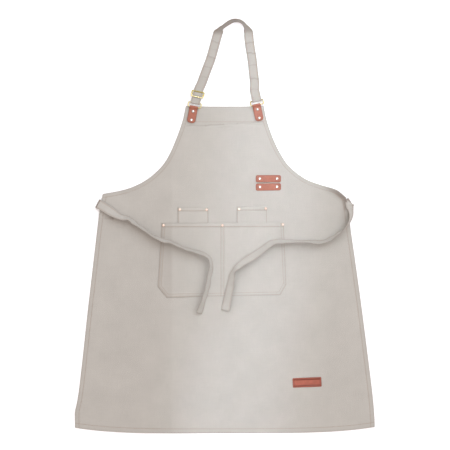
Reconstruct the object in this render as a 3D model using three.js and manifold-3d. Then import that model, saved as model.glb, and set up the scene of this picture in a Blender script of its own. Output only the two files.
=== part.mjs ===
// Canvas work apron lying flat on its back, front side up. Millimetres, +Z up.
// The origin is on the floor under the middle of the laid-out apron. +Y points from the hem to the neck,
// and +X to the right as one looks down on the front.
import * as THREE from "three";
import { mergeVertices } from "three/addons/utils/BufferGeometryUtils.js";
import Module from "manifold-3d";

const wasm = await Module();
wasm.setup();

// Overall sizes
const OVERALL_LENGTH = 1036; // hem to the top of the laid-out neck strap
const BODY_LENGTH = 818; // bib's top edge to the middle of the hem
const HEM_Y = -OVERALL_LENGTH / 2;
const BIB_TOP_Y = HEM_Y + BODY_LENGTH;
const GAP = 0.3; // clearance between pieces that touch
const WELD = 1e-4; // points nearer than this are one

// Cloth, leather and straps
const CLOTH = 1.0;
const HEM_CLOTH = 2 * CLOTH; // a turned hem is two layers
const SIDE_HEM = 10;
const WIDEST_HEM_INSET = 45; // where the armhole runs nearly level
const HEM_STEP = 0.015; // share of the width over which the cloth thins behind a side hem
const LEATHER = 1.5;
const STRAP_WIDTH = 23.5;
const STRAP_THICK = 1.6;

// Heights of the panel above the floor
const FACING_LIFT = 1.0; // the bib's top stands on the backs of its rivets
const FACING_DEPTH = 45;
const FACING_FADE = 120;
const CORNER_LIFTS = [
  { name: "left_tie", x: -300, y: 52, lift: 2.7, reach: 32 },
  { name: "right_tie", x: 300, y: 64, lift: 6.0, reach: 30 },
];

// Panel outline, down each side from the bib's top: distances below the top edge, half widths, and how
// far the middle of that level hangs below its ends
const ARMHOLE = [
  { leftBelow: 0, left: 97, rightBelow: 0, right: 97, bow: 1.5 },
  { leftBelow: 37, left: 105, rightBelow: 37, right: 105, bow: 1.5 },
  { leftBelow: 85, left: 122, rightBelow: 85, right: 122, bow: 2 },
  { leftBelow: 123, left: 139, rightBelow: 123, right: 141, bow: 1 },
  { leftBelow: 148, left: 155, rightBelow: 148, right: 158, bow: 0 },
  { leftBelow: 173, left: 180, rightBelow: 171, right: 184, bow: 0 },
  { leftBelow: 191, left: 206, rightBelow: 186, right: 208, bow: 0 },
  { leftBelow: 204, left: 234, rightBelow: 198, right: 241, bow: 0 },
  { leftBelow: 213, left: 266, rightBelow: 211, right: 279, bow: 0 },
  { leftBelow: 220, left: 304, rightBelow: 229, right: 301, bow: 0 },
];
const SKIRT_SIDE = [
  { leftBelow: 220, left: 304, rightBelow: 229, right: 301, bow: 0 },
  { leftBelow: 245, left: 310, rightBelow: 248, right: 306, bow: 0 },
  { leftBelow: 298, left: 317, rightBelow: 298, right: 313, bow: 0 },
  { leftBelow: 490, left: 339.5, rightBelow: 490, right: 340, bow: 3 },
  { leftBelow: 730, left: 367, rightBelow: 730, right: 370, bow: 9 },
  { leftBelow: 765, left: 374, rightBelow: 765, right: 373, bow: 12 },
  { leftBelow: 792, left: 374, rightBelow: 790, right: 374.5, bow: 15 },
  { leftBelow: 804, left: 374, rightBelow: 802, right: 374.5, bow: 15 },
];
const ROWS_PER_SECTION = 2;
const FACING_SECTIONS = 1; // first sections of the armhole
const HEM_SECTIONS = 1; // last sections of the skirt
const PANEL_COLUMNS = 14;

// Pockets: corners of each level from the opening down
const MAIN_POCKET = [
  { leftY: 7.5, left: -157.5, rightY: 8, right: 148 },
  { leftY: -2, left: -158, rightY: -1.5, right: 148.5 },
  { leftY: -3, left: -158, rightY: -2.5, right: 148.5 },
  { leftY: -80, left: -163, rightY: -78, right: 152 },
  { leftY: -151, left: -167.5, rightY: -146, right: 155 },
  { leftY: -179, left: -145, rightY: -173, right: 140 },
];
const POCKET_SEAM_X = -6;
const POCKET_CROWN = 1.6; // the main pocket stands over the pen pockets behind it
const CROWN_FLAT = 0.07; // share of each half that lies flat beside its seams
const CROWN_RAMP = 0.3; // share of each half by which it has risen to its full height
const CROWN_STEPS = 3;
const POCKET_HEM_ROWS = 2;
const PEN_POCKETS = [
  { name: "pen_pocket_left", x: -79, top: 47 },
  { name: "pen_pocket_right", x: 68, top: 49 },
];
const PEN_WIDTH = 77;
const PEN_DEPTH = 118;
const PEN_COLUMNS = 4;
const POCKET_HEM = 9;

// Leather tabs with their rings: the place and lean of the fold that holds the ring, and how far the
// ring and the strap lie to the right of the fold's middle
const TABS = [
  { side: "left", x: -77.1, y: 296.6, lean: -11, ringShift: 0.9, strapShift: 1.3 },
  { side: "right", x: 79.2, y: 301.3, lean: 12, ringShift: 2.3, strapShift: 3.4 },
];
const TAB_WIDTH = 21;
const TAB_LENGTH = 40; // ring bar to the tip
const TAB_TIP_RADIUS = 8;
const TAB_RIVETS = [
  { name: "upper", along: 11 },
  { name: "lower", along: 33 },
];
const WIRE = 3.0;
const WIRE_SIDES = 8;
const RING_WIDTH = 35.5;
const RING_BARS = 11.5; // bar to bar
const RING_CORNER = 3.5;
const METAL_CORNER_STEPS = 3;
const RING_TILT = -8.5; // degrees, down towards the strap
const FOLD_INNER = WIRE / 2 + GAP;
const TAB_BOTTOM = HEM_CLOTH + FACING_LIFT + GAP;
const FOLD_Z = TAB_BOTTOM + LEATHER + FOLD_INNER;
const TAB_TOP = TAB_BOTTOM + 2 * LEATHER + GAP;
const FOLD_RUN = 6.8; // length over which the upper leg comes down to the lower one
const FOLD_EASE = 0.45 * FOLD_RUN;
const LEATHER_CORNER_STEPS = 5;

// Tool loops and label
const TOOL_LOOPS = [
  { name: "tool_loop_upper", rivets: "upper", x: 109, y: 118, turn: 0 },
  { name: "tool_loop_lower", rivets: "lower", x: 109, y: 97.5, turn: 1 },
];
const LOOP_LENGTH = 63;
const LOOP_WIDTH = 18;
const LOOP_RIVET_SPREAD = 43;
const LOOP_BOW = 1.2;
const LABEL = { name: "label_patch", x: 205.5, y: -390.5, length: 72, width: 24, turn: 2.3 };
const PATCH_CORNER = 2;
const PATCH_COLUMNS = 12;

// Rivets
const RIVET_CAP = 3.5;
const RIVET_CAP_HEIGHT = 1.5;
const RIVET_POST = 1.4;
const RIVET_BACK = 3.2;
const RIVET_BACK_HEIGHT = 0.7;
const RIVET_SIDES = 10;
const RIVET_DOME_STEPS = 3;
const HOLE_SIDES = 8;
const DRILL_LENGTH = 60;
const POCKET_RIVETS = [
  { name: "rivet_pocket_left", x: -153, y: 1.5 },
  { name: "rivet_pocket_middle", x: POCKET_SEAM_X, y: 1.5 },
  { name: "rivet_pocket_right", x: 145, y: 3.5 },
  { name: "rivet_pen_left_outer", x: -112, y: 41 },
  { name: "rivet_pen_left_inner", x: -45.5, y: 40.5 },
  { name: "rivet_pen_right_inner", x: 36, y: 42 },
  { name: "rivet_pen_right_outer", x: 102, y: 43.5 },
];

// Slide buckle
const BUCKLE = { x: -67.5, y: 328.4, lean: -12.5 };
const BUCKLE_WIDTH = 33;
const BUCKLE_HEIGHT = 16;
const BUCKLE_BAR = 2.6;
const BUCKLE_RAIL = 3.2;
const BUCKLE_CORNER = 2.5;
const WINDOW_CORNER = 1;
const BUCKLE_FRAME_Z = 5.8;
const BUCKLE_FRAME_THICK = 2.0;
const MIDDLE_BAR_Z = 2.2;
const MIDDLE_BAR_THICK = 1.6;
const MIDDLE_BAR_DEPTH = 2.4;
const POST_DEPTH = 3.4; // the posts that drop from the rails to the middle bar
const POST_WIDTH = 2.8;

// Neck strap between the right ring and the buckle. The bank lifts the strap's outer edge, in degrees.
const NECK_ROUTE = [
  { x: 74.8, y: 355, bank: 0 },
  { x: 71.6, y: 385, bank: 0 },
  { x: 68.4, y: 415, bank: 0 },
  { x: 62.9, y: 450, bank: 0 },
  { x: 60.4, y: 472, bank: 3 },
  { x: 59.3, y: 484, bank: 20 },
  { x: 56.2, y: 490.8, bank: 54 },
  { x: 51.7, y: 497.5, bank: 73 },
  { x: 45.2, y: 505.6, bank: 81 },
  { x: 37.2, y: 510.4, bank: 82 },
  { x: 28.4, y: 511.6, bank: 80 },
  { x: 19.8, y: 510.6, bank: 78 },
  { x: 11.6, y: 506.8, bank: 75 },
  { x: 3.6, y: 501.9, bank: 76 },
  { x: -4.9, y: 495.4, bank: 78 },
  { x: -11.5, y: 489.8, bank: 66 },
  { x: -15.8, y: 484, bank: 20 },
  { x: -18.2, y: 477.5, bank: 0 },
  { x: -27.1, y: 445, bank: 0 },
  { x: -35.9, y: 415, bank: 0 },
  { x: -47.4, y: 385, bank: 0 },
  { x: -58.5, y: 355, bank: 0 },
];

// The strap's way round the rings and through the buckle: distances along the ring's or buckle's own axis
// and heights of the strap's middle
const UNDER_RIGHT_RING = [{ along: 16, height: 1.4 }, { along: 6, height: 1.8 }];
const OVER_RIGHT_RING = [
  { along: 6, height: 5.6 },
  { along: 16, height: 3.4 },
  { along: 28, height: STRAP_THICK / 2 },
];
const OVER_LEFT_RING = [{ along: 5, height: 5.8 }];
const UNDER_LEFT_RING = [{ along: 6, height: 1.4 }];
const OUTER_BAR = (BUCKLE_HEIGHT - BUCKLE_BAR) / 2;
const THROUGH_BUCKLE = [
  { along: 15, height: 1.4 },
  { along: OUTER_BAR, height: 3.8 },
  { along: OUTER_BAR / 2, height: 5.4 },
  { along: 0, height: 7 },
  { along: -OUTER_BAR / 2, height: 5.4 },
  { along: -OUTER_BAR, height: 3.8 },
];
const SEWN_END_TAIL = 1; // how far the sewn end reaches back over the middle bar
const SEWN_END_APPROACH = 5;
const SEWN_END_EASE = 0.9; // extra length of the turn round the flat middle bar

// Waist ties from the sewn end, which lies under the panel. The bank lifts the edge on the right of the
// way the tie runs, and a row without a rest height lies on the cloth below it.
const LEFT_TIE = [
  { x: -283, y: 37, bank: 0, rest: 0 },
  { x: -300, y: 46.5, bank: 0, rest: 0 },
  { x: -314.9, y: 54.8, bank: 0, rest: 0 },
  { x: -317.3, y: 56.1, bank: 0, rest: 2.6 },
  { x: -314.9, y: 54.8, bank: 0, rest: 5.2 },
  { x: -300, y: 46.2, bank: 8 },
  { x: -283, y: 35, bank: 25 },
  { x: -268.5, y: 25.5, bank: 42 },
  { x: -254, y: 20.3, bank: 57 },
  { x: -239.5, y: 18.3, bank: 66 },
  { x: -228.5, y: 11, bank: 70 },
  { x: -218, y: 2.4, bank: 73 },
  { x: -197.5, y: -11.8, bank: 74 },
  { x: -176, y: -26.6, bank: 74 },
  { x: -154, y: -36.6, bank: 73 },
  { x: -136.5, y: -39.3, bank: 71 },
  { x: -118.5, y: -47.3, bank: 73 },
  { x: -100, y: -56.6, bank: 74 },
  { x: -84.5, y: -61, bank: 73 },
  { x: -66, y: -66.6, bank: 72 },
  { x: -49, y: -72.6, bank: 69 },
  { x: -38, y: -81, bank: 64 },
  { x: -34.8, y: -94, bank: 64 },
  { x: -36, y: -110, bank: 64 },
  { x: -40, y: -132, bank: 64 },
  { x: -45.5, y: -157, bank: 62 },
  { x: -52.5, y: -182, bank: 58 },
  { x: -58.5, y: -201.5, bank: 56 },
  { x: -64, y: -217, bank: 56 },
];
const RIGHT_TIE = [
  { x: 283, y: 37.5, bank: 0, rest: 0 },
  { x: 297.5, y: 48.1, bank: 0, rest: 0 },
  { x: 311.4, y: 58.2, bank: 0, rest: 0 },
  { x: 313.8, y: 59.9, bank: 0, rest: 4.6 },
  { x: 311.2, y: 57, bank: 10, rest: 9.2 },
  { x: 310.6, y: 49.6, bank: 34, rest: 6 },
  { x: 311.8, y: 40, bank: 53, rest: 3 },
  { x: 312.2, y: 26, bank: 60, rest: 5 },
  { x: 306.8, y: 8, bank: 70 },
  { x: 294.5, y: -9.5, bank: 90 },
  { x: 279.5, y: -21, bank: 106 },
  { x: 264, y: -32.3, bank: 113 },
  { x: 250, y: -39.3, bank: 112 },
  { x: 231.5, y: -41, bank: 108 },
  { x: 203, y: -39.6, bank: 108 },
  { x: 174, y: -38.6, bank: 108 },
  { x: 151.5, y: -39, bank: 114 },
  { x: 127, y: -40, bank: 122 },
  { x: 111, y: -47, bank: 135 },
  { x: 96.3, y: -58, bank: 142 },
  { x: 72.3, y: -74.5, bank: 143 },
  { x: 48.8, y: -89.5, bank: 140 },
  { x: 32.5, y: -101.5, bank: 128 },
  { x: 24.5, y: -111.5, bank: 122 },
  { x: 19.5, y: -124, bank: 130 },
  { x: 15, y: -145.5, bank: 140 },
  { x: 9.6, y: -169.5, bank: 152 },
  { x: 4.8, y: -193.5, bank: 160 },
  { x: 2.2, y: -211, bank: 158 },
];
const LAID_GAP = 0.6; // clearance under a strap that lies on the cloth
const RIBBON_STEPS = 2; // stations between the rows of a strap's table
const STEEP = 0.35; // level part of a strap's run below which it counts as upright

const CANVAS = { color: 0xcfc9c2, roughness: 0.95, metalness: 0 };
const TAN_LEATHER = { color: 0xbd7a66, roughness: 0.55, metalness: 0 };
const BRASS = { color: 0xd8b878, roughness: 0.3, metalness: 1 };
const STEEL = { color: 0xd6d5d2, roughness: 0.25, metalness: 1 };
const COPPER = { color: 0xc98d66, roughness: 0.35, metalness: 1 };

const apron = new THREE.Group();
const UP = new THREE.Vector3(0, 0, 1);
const radians = THREE.MathUtils.degToRad;
const smooth = (value, from, to) => THREE.MathUtils.smoothstep(value, from, to);

function addPiece(name, geometry, finish) {
  const piece = new THREE.Mesh(geometry, new THREE.MeshStandardMaterial(finish));
  piece.name = name;
  apron.add(piece);
  return piece;
}

// Shares the vertices of a geometry and leaves out its empty triangles.
function welded(geometry) {
  const bare = geometry.clone();
  bare.deleteAttribute("normal");
  bare.deleteAttribute("uv");
  const merged = mergeVertices(bare, WELD);
  const corners = merged.index.array;
  const kept = [];
  for (let i = 0; i < corners.length; i += 3) {
    const [a, b, c] = corners.slice(i, i + 3);
    if (a !== b && b !== c && c !== a) kept.push(a, b, c);
  }
  merged.setIndex(kept);
  return merged;
}

function toSolid(geometry) {
  const closed = welded(geometry);
  const vertProperties = new Float32Array(closed.attributes.position.array);
  const triVerts = new Uint32Array(closed.index.array);
  return new wasm.Manifold(new wasm.Mesh({ numProp: 3, vertProperties, triVerts }));
}

function toGeometry(solid) {
  const mesh = solid.getMesh();
  const geometry = new THREE.BufferGeometry();
  geometry.setAttribute("position", new THREE.BufferAttribute(mesh.vertProperties, 3));
  geometry.setIndex(new THREE.BufferAttribute(mesh.triVerts, 1));
  return geometry;
}

// Cuts upright round holes for rivet posts through a piece.
function drilled(geometry, holes) {
  let solid = toSolid(geometry);
  for (const hole of holes) {
    const drill = new THREE.CylinderGeometry(RIVET_POST + GAP, RIVET_POST + GAP, DRILL_LENGTH, HOLE_SIDES);
    drill.rotateX(Math.PI / 2).translate(hole.x, hole.y, 0);
    solid = solid.subtract(toSolid(drill));
  }
  return toGeometry(solid);
}

// A closed sheet from rows of points that each have an upper and a lower height.
function sheetGeometry(rows) {
  const rowCount = rows.length;
  const columnCount = rows[0].length;
  const points = [];
  for (const row of rows) for (const p of row) points.push(p.x, p.y, p.top);
  for (const row of rows) for (const p of row) points.push(p.x, p.y, p.bottom);
  const upper = (r, c) => r * columnCount + c;
  const lower = (r, c) => rowCount * columnCount + upper(r, c);
  const triangles = [];
  const quad = (a, b, c, d) => triangles.push(a, b, c, a, c, d);
  for (let r = 0; r < rowCount - 1; r++) {
    for (let c = 0; c < columnCount - 1; c++) {
      quad(upper(r, c), upper(r + 1, c), upper(r + 1, c + 1), upper(r, c + 1));
      quad(lower(r, c), lower(r, c + 1), lower(r + 1, c + 1), lower(r + 1, c));
    }
    const last = columnCount - 1;
    quad(upper(r, 0), lower(r, 0), lower(r + 1, 0), upper(r + 1, 0));
    quad(upper(r, last), upper(r + 1, last), lower(r + 1, last), lower(r, last));
  }
  const end = rowCount - 1;
  for (let c = 0; c < columnCount - 1; c++) {
    quad(upper(0, c), upper(0, c + 1), lower(0, c + 1), lower(0, c));
    quad(upper(end, c), lower(end, c), lower(end, c + 1), upper(end, c + 1));
  }
  const geometry = new THREE.BufferGeometry();
  geometry.setAttribute("position", new THREE.Float32BufferAttribute(points, 3));
  geometry.setIndex(triangles);
  return geometry;
}

function panelLift(x, y) {
  let lift = FACING_LIFT * (1 - smooth(BIB_TOP_Y - y, FACING_DEPTH, FACING_FADE));
  for (const corner of CORNER_LIFTS) {
    const away = Math.hypot(x - corner.x, y - corner.y) / corner.reach;
    lift += corner.lift * Math.exp(-away * away / 2);
  }
  return lift;
}

const panelTop = (x, y) => HEM_CLOTH + panelLift(x, y);

// The panel's two edges as curves through the rows of an outline table
function outlineCurves(table) {
  const left = table.map((row) => new THREE.Vector3(-row.left, BIB_TOP_Y - row.leftBelow, row.bow));
  const right = table.map((row) => new THREE.Vector3(row.right, BIB_TOP_Y - row.rightBelow, row.bow));
  return { left: new THREE.CatmullRomCurve3(left), right: new THREE.CatmullRomCurve3(right) };
}

function hemInset(curve, t) {
  const run = curve.getTangent(t);
  const slant = Math.hypot(run.x, run.y) / Math.max(Math.abs(run.y), WELD);
  return Math.min(SIDE_HEM * slant, WIDEST_HEM_INSET);
}

// One level of the panel, from its left edge to its right edge
function panelRow(curves, t, folded) {
  const a = curves.left.getPoint(t);
  const b = curves.right.getPoint(t);
  const span = b.x - a.x;
  const inLeft = hemInset(curves.left, t) / span;
  const inRight = hemInset(curves.right, t) / span;
  const places = [{ u: 0, hem: true }, { u: inLeft, hem: true }];
  for (let c = 0; c <= PANEL_COLUMNS; c++) {
    const share = THREE.MathUtils.lerp(HEM_STEP, 1 - HEM_STEP, c / PANEL_COLUMNS);
    places.push({ u: THREE.MathUtils.lerp(inLeft, 1 - inRight, share), hem: folded });
  }
  places.push({ u: 1 - inRight, hem: true }, { u: 1, hem: true });
  return places.map(({ u, hem }) => {
    const x = a.x + span * u;
    const y = THREE.MathUtils.lerp(a.y, b.y, u) - a.z * (1 - Math.pow(2 * u - 1, 4));
    const top = panelTop(x, y);
    return { x, y, top, bottom: top - (hem ? HEM_CLOTH : CLOTH) };
  });
}

function panelGeometry() {
  const rows = [];
  const armhole = outlineCurves(ARMHOLE);
  const armholeSteps = ROWS_PER_SECTION * (ARMHOLE.length - 1);
  const facingSteps = ROWS_PER_SECTION * FACING_SECTIONS;
  for (let i = 0; i < armholeSteps; i++) {
    rows.push(panelRow(armhole, i / armholeSteps, i <= facingSteps));
  }
  const skirt = outlineCurves(SKIRT_SIDE);
  const skirtSteps = ROWS_PER_SECTION * (SKIRT_SIDE.length - 1);
  const hemSteps = ROWS_PER_SECTION * HEM_SECTIONS;
  for (let i = 0; i <= skirtSteps; i++) {
    rows.push(panelRow(skirt, i / skirtSteps, i >= skirtSteps - hemSteps));
  }
  return sheetGeometry(rows);
}

// How far the main pocket stands off the panel: full at its opening, nothing along its seams
function pocketCrown(x, y) {
  const [opening] = MAIN_POCKET;
  const foot = MAIN_POCKET.at(-1);
  const edge = x < POCKET_SEAM_X ? opening.left : opening.right;
  const share = (x - POCKET_SEAM_X) / (edge - POCKET_SEAM_X);
  const fromSeam = smooth(share, CROWN_FLAT, CROWN_RAMP);
  const fromSide = smooth(1 - share, CROWN_FLAT, CROWN_RAMP);
  const down = THREE.MathUtils.clamp((opening.leftY - y) / (opening.leftY - foot.rightY), 0, 1);
  return POCKET_CROWN * fromSeam * fromSide * (1 - Math.pow(down, 3));
}

function mainPocketGeometry() {
  const rise = [];
  for (let i = 0; i <= CROWN_STEPS; i++) {
    rise.push(THREE.MathUtils.lerp(CROWN_FLAT, CROWN_RAMP, i / CROWN_STEPS));
  }
  const shares = [0, ...rise, 0.5, ...rise.map((share) => 1 - share).reverse()];
  const left = MAIN_POCKET.map((row) => new THREE.Vector2(row.left, row.leftY));
  const right = MAIN_POCKET.map((row) => new THREE.Vector2(row.right, row.rightY));
  const rows = left.map((a, r) => {
    const b = right[r];
    const columns = [
      ...shares.map((share) => THREE.MathUtils.lerp(a.x, POCKET_SEAM_X, share)),
      ...shares.map((share) => THREE.MathUtils.lerp(POCKET_SEAM_X, b.x, share)),
      b.x,
    ];
    return columns.map((x) => {
      const y = THREE.MathUtils.lerp(a.y, b.y, (x - a.x) / (b.x - a.x));
      const bottom = panelTop(x, y) + GAP + pocketCrown(x, y);
      return { x, y, bottom, top: bottom + (r < POCKET_HEM_ROWS ? HEM_CLOTH : CLOTH) };
    });
  });
  return sheetGeometry(rows);
}

function penPocketGeometry(pocket) {
  const levels = [
    { y: pocket.top, thick: HEM_CLOTH },
    { y: pocket.top - POCKET_HEM, thick: HEM_CLOTH },
    { y: pocket.top - POCKET_HEM - CLOTH, thick: CLOTH },
    { y: pocket.top - PEN_DEPTH, thick: CLOTH },
  ];
  const rows = levels.map(({ y, thick }) => {
    const row = [];
    for (let c = 0; c <= PEN_COLUMNS; c++) {
      const x = pocket.x + PEN_WIDTH * (c / PEN_COLUMNS - 0.5);
      const bottom = panelTop(x, y) + GAP;
      row.push({ x, y, bottom, top: bottom + thick });
    }
    return row;
  });
  return sheetGeometry(rows);
}

// A flat leather patch about its own middle, with clipped corners, that may bow up between its rivets
function patchGeometry(length, width, bow) {
  const levels = [
    { y: width / 2, inset: PATCH_CORNER },
    { y: width / 2 - PATCH_CORNER, inset: 0 },
    { y: PATCH_CORNER - width / 2, inset: 0 },
    { y: -width / 2, inset: PATCH_CORNER },
  ];
  const rows = levels.map(({ y, inset }) => {
    const row = [];
    for (let c = 0; c <= PATCH_COLUMNS; c++) {
      const x = (length - 2 * inset) * (c / PATCH_COLUMNS - 0.5);
      const phase = Math.min(Math.abs(x) / LOOP_RIVET_SPREAD, 0.5) * Math.PI;
      const bottom = HEM_CLOTH + GAP + bow * Math.pow(Math.cos(phase), 2);
      row.push({ x, y, bottom, top: bottom + LEATHER });
    }
    return row;
  });
  return sheetGeometry(rows);
}

// A rivet that stands on the floor, with its domed cap on the top layer it holds
function rivetGeometry(heldTop) {
  const seat = heldTop + GAP;
  const profile = [
    new THREE.Vector2(0, 0),
    new THREE.Vector2(RIVET_BACK, 0),
    new THREE.Vector2(RIVET_BACK, RIVET_BACK_HEIGHT),
    new THREE.Vector2(RIVET_POST, RIVET_BACK_HEIGHT),
    new THREE.Vector2(RIVET_POST, seat),
  ];
  for (let i = 0; i < RIVET_DOME_STEPS; i++) {
    const angle = (i / RIVET_DOME_STEPS) * (Math.PI / 2);
    profile.push(new THREE.Vector2(RIVET_CAP * Math.cos(angle), seat + RIVET_CAP_HEIGHT * Math.sin(angle)));
  }
  profile.push(new THREE.Vector2(0, seat + RIVET_CAP_HEIGHT));
  return welded(new THREE.LatheGeometry(profile, RIVET_SIDES).rotateX(Math.PI / 2));
}

function roundedRectangle(width, height, radius, outline = new THREE.Shape()) {
  const x = width / 2 - radius;
  const y = height / 2 - radius;
  outline.absarc(x, y, radius, 0, Math.PI / 2);
  outline.absarc(-x, y, radius, Math.PI / 2, Math.PI);
  outline.absarc(-x, -y, radius, Math.PI, Math.PI * 1.5);
  outline.absarc(x, -y, radius, Math.PI * 1.5, Math.PI * 2);
  outline.closePath();
  return outline;
}

// A closed ring of round wire along a flat loop about its own middle
function wireRingGeometry() {
  const loop = roundedRectangle(RING_WIDTH - WIRE, RING_BARS, RING_CORNER);
  const path = loop.extractPoints(METAL_CORNER_STEPS).shape;
  const points = [];
  const triangles = [];
  path.forEach((p, i) => {
    const before = path.at(i - 1);
    const after = path[(i + 1) % path.length];
    const out = new THREE.Vector2(after.y - before.y, before.x - after.x).normalize();
    for (let s = 0; s < WIRE_SIDES; s++) {
      const angle = (s / WIRE_SIDES) * Math.PI * 2;
      const reach = (WIRE / 2) * Math.cos(angle);
      points.push(p.x + out.x * reach, p.y + out.y * reach, (WIRE / 2) * Math.sin(angle));
      const here = i * WIRE_SIDES;
      const next = ((i + 1) % path.length) * WIRE_SIDES;
      const turn = (s + 1) % WIRE_SIDES;
      triangles.push(here + s, next + s, next + turn, here + s, next + turn, here + turn);
    }
  });
  const geometry = new THREE.BufferGeometry();
  geometry.setAttribute("position", new THREE.Float32BufferAttribute(points, 3));
  geometry.setIndex(triangles);
  return geometry;
}

// A leather strip folded round the ring's bar, with both legs on the front of the bib. Its fold is at
// the local origin and its rounded tip points down.
function tabGeometry() {
  const outer = FOLD_INNER + LEATHER;
  const upperLeg = TAB_TOP - LEATHER;
  const extruded = (shape, depth) => new THREE.ExtrudeGeometry(shape, {
    depth,
    bevelEnabled: false,
    curveSegments: LEATHER_CORNER_STEPS,
  });
  const side = new THREE.Shape();
  side.moveTo(TAB_LENGTH, TAB_BOTTOM);
  side.lineTo(TAB_LENGTH, TAB_BOTTOM + LEATHER);
  side.lineTo(0, TAB_BOTTOM + LEATHER);
  side.absarc(0, FOLD_Z, FOLD_INNER, -Math.PI / 2, Math.PI / 2, true);
  side.bezierCurveTo(FOLD_EASE, FOLD_Z + FOLD_INNER, FOLD_EASE, upperLeg, FOLD_RUN, upperLeg);
  side.lineTo(TAB_LENGTH, upperLeg);
  side.lineTo(TAB_LENGTH, TAB_TOP);
  side.lineTo(FOLD_RUN, TAB_TOP);
  side.bezierCurveTo(FOLD_EASE, TAB_TOP, FOLD_EASE, FOLD_Z + outer, 0, FOLD_Z + outer);
  side.absarc(0, FOLD_Z, outer, Math.PI / 2, -Math.PI / 2, false);
  side.closePath();
  const strip = extruded(side, TAB_WIDTH);
  const turned = new THREE.Matrix4().makeBasis(
    new THREE.Vector3(0, -1, 0),
    new THREE.Vector3(0, 0, 1),
    new THREE.Vector3(-1, 0, 0),
  );
  strip.applyMatrix4(turned).translate(TAB_WIDTH / 2, 0, 0);
  const blankLength = TAB_LENGTH + 2 * outer + 2 * TAB_TIP_RADIUS;
  const blank = roundedRectangle(TAB_WIDTH + GAP, blankLength, TAB_TIP_RADIUS);
  const cutter = extruded(blank, 2 * FOLD_Z);
  cutter.translate(0, blankLength / 2 - TAB_LENGTH, 0);
  const rounded = toGeometry(toSolid(strip).intersect(toSolid(cutter)));
  return drilled(rounded, TAB_RIVETS.map((rivet) => ({ x: 0, y: -rivet.along })));
}

// The three-bar slide: an outer frame with a lower middle bar that carries the strap's sewn end
function buckleGeometry() {
  const outline = roundedRectangle(BUCKLE_WIDTH, BUCKLE_HEIGHT, BUCKLE_CORNER);
  const innerWidth = BUCKLE_WIDTH - 2 * BUCKLE_RAIL;
  const innerHeight = BUCKLE_HEIGHT - 2 * BUCKLE_BAR;
  outline.holes.push(roundedRectangle(innerWidth, innerHeight, WINDOW_CORNER, new THREE.Path()));
  const frame = new THREE.ExtrudeGeometry(outline, {
    depth: BUCKLE_FRAME_THICK,
    bevelEnabled: false,
    curveSegments: METAL_CORNER_STEPS,
  });
  frame.translate(0, 0, BUCKLE_FRAME_Z);
  const bar = new THREE.BoxGeometry(innerWidth + BUCKLE_RAIL, MIDDLE_BAR_DEPTH, MIDDLE_BAR_THICK);
  bar.translate(0, 0, MIDDLE_BAR_Z + MIDDLE_BAR_THICK / 2);
  let solid = toSolid(frame).add(toSolid(bar));
  const postHeight = BUCKLE_FRAME_Z + BUCKLE_FRAME_THICK / 2 - MIDDLE_BAR_Z;
  for (const end of [-1, 1]) {
    const post = new THREE.BoxGeometry(POST_WIDTH, POST_DEPTH, postHeight);
    post.translate(end * (innerWidth + BUCKLE_RAIL) / 2, 0, MIDDLE_BAR_Z + postHeight / 2);
    solid = solid.add(toSolid(post));
  }
  return toGeometry(solid);
}

// The highest cloth under a strap that is centred on a point
function coverTop(x, y) {
  const [opening] = MAIN_POCKET;
  const [widest, foot] = MAIN_POCKET.slice(-2);
  const reach = STRAP_WIDTH / 2;
  let highest = 0;
  for (const dx of [-reach, 0, reach]) {
    for (const dy of [-reach, 0, reach]) {
      const onPocket = x + dx > widest.left && x + dx < widest.right
        && y + dy < opening.rightY && y + dy > foot.leftY;
      const pocket = onPocket ? GAP + pocketCrown(x + dx, y + dy) + CLOTH : 0;
      highest = Math.max(highest, panelTop(x + dx, y + dy) + pocket);
    }
  }
  return highest;
}

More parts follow.
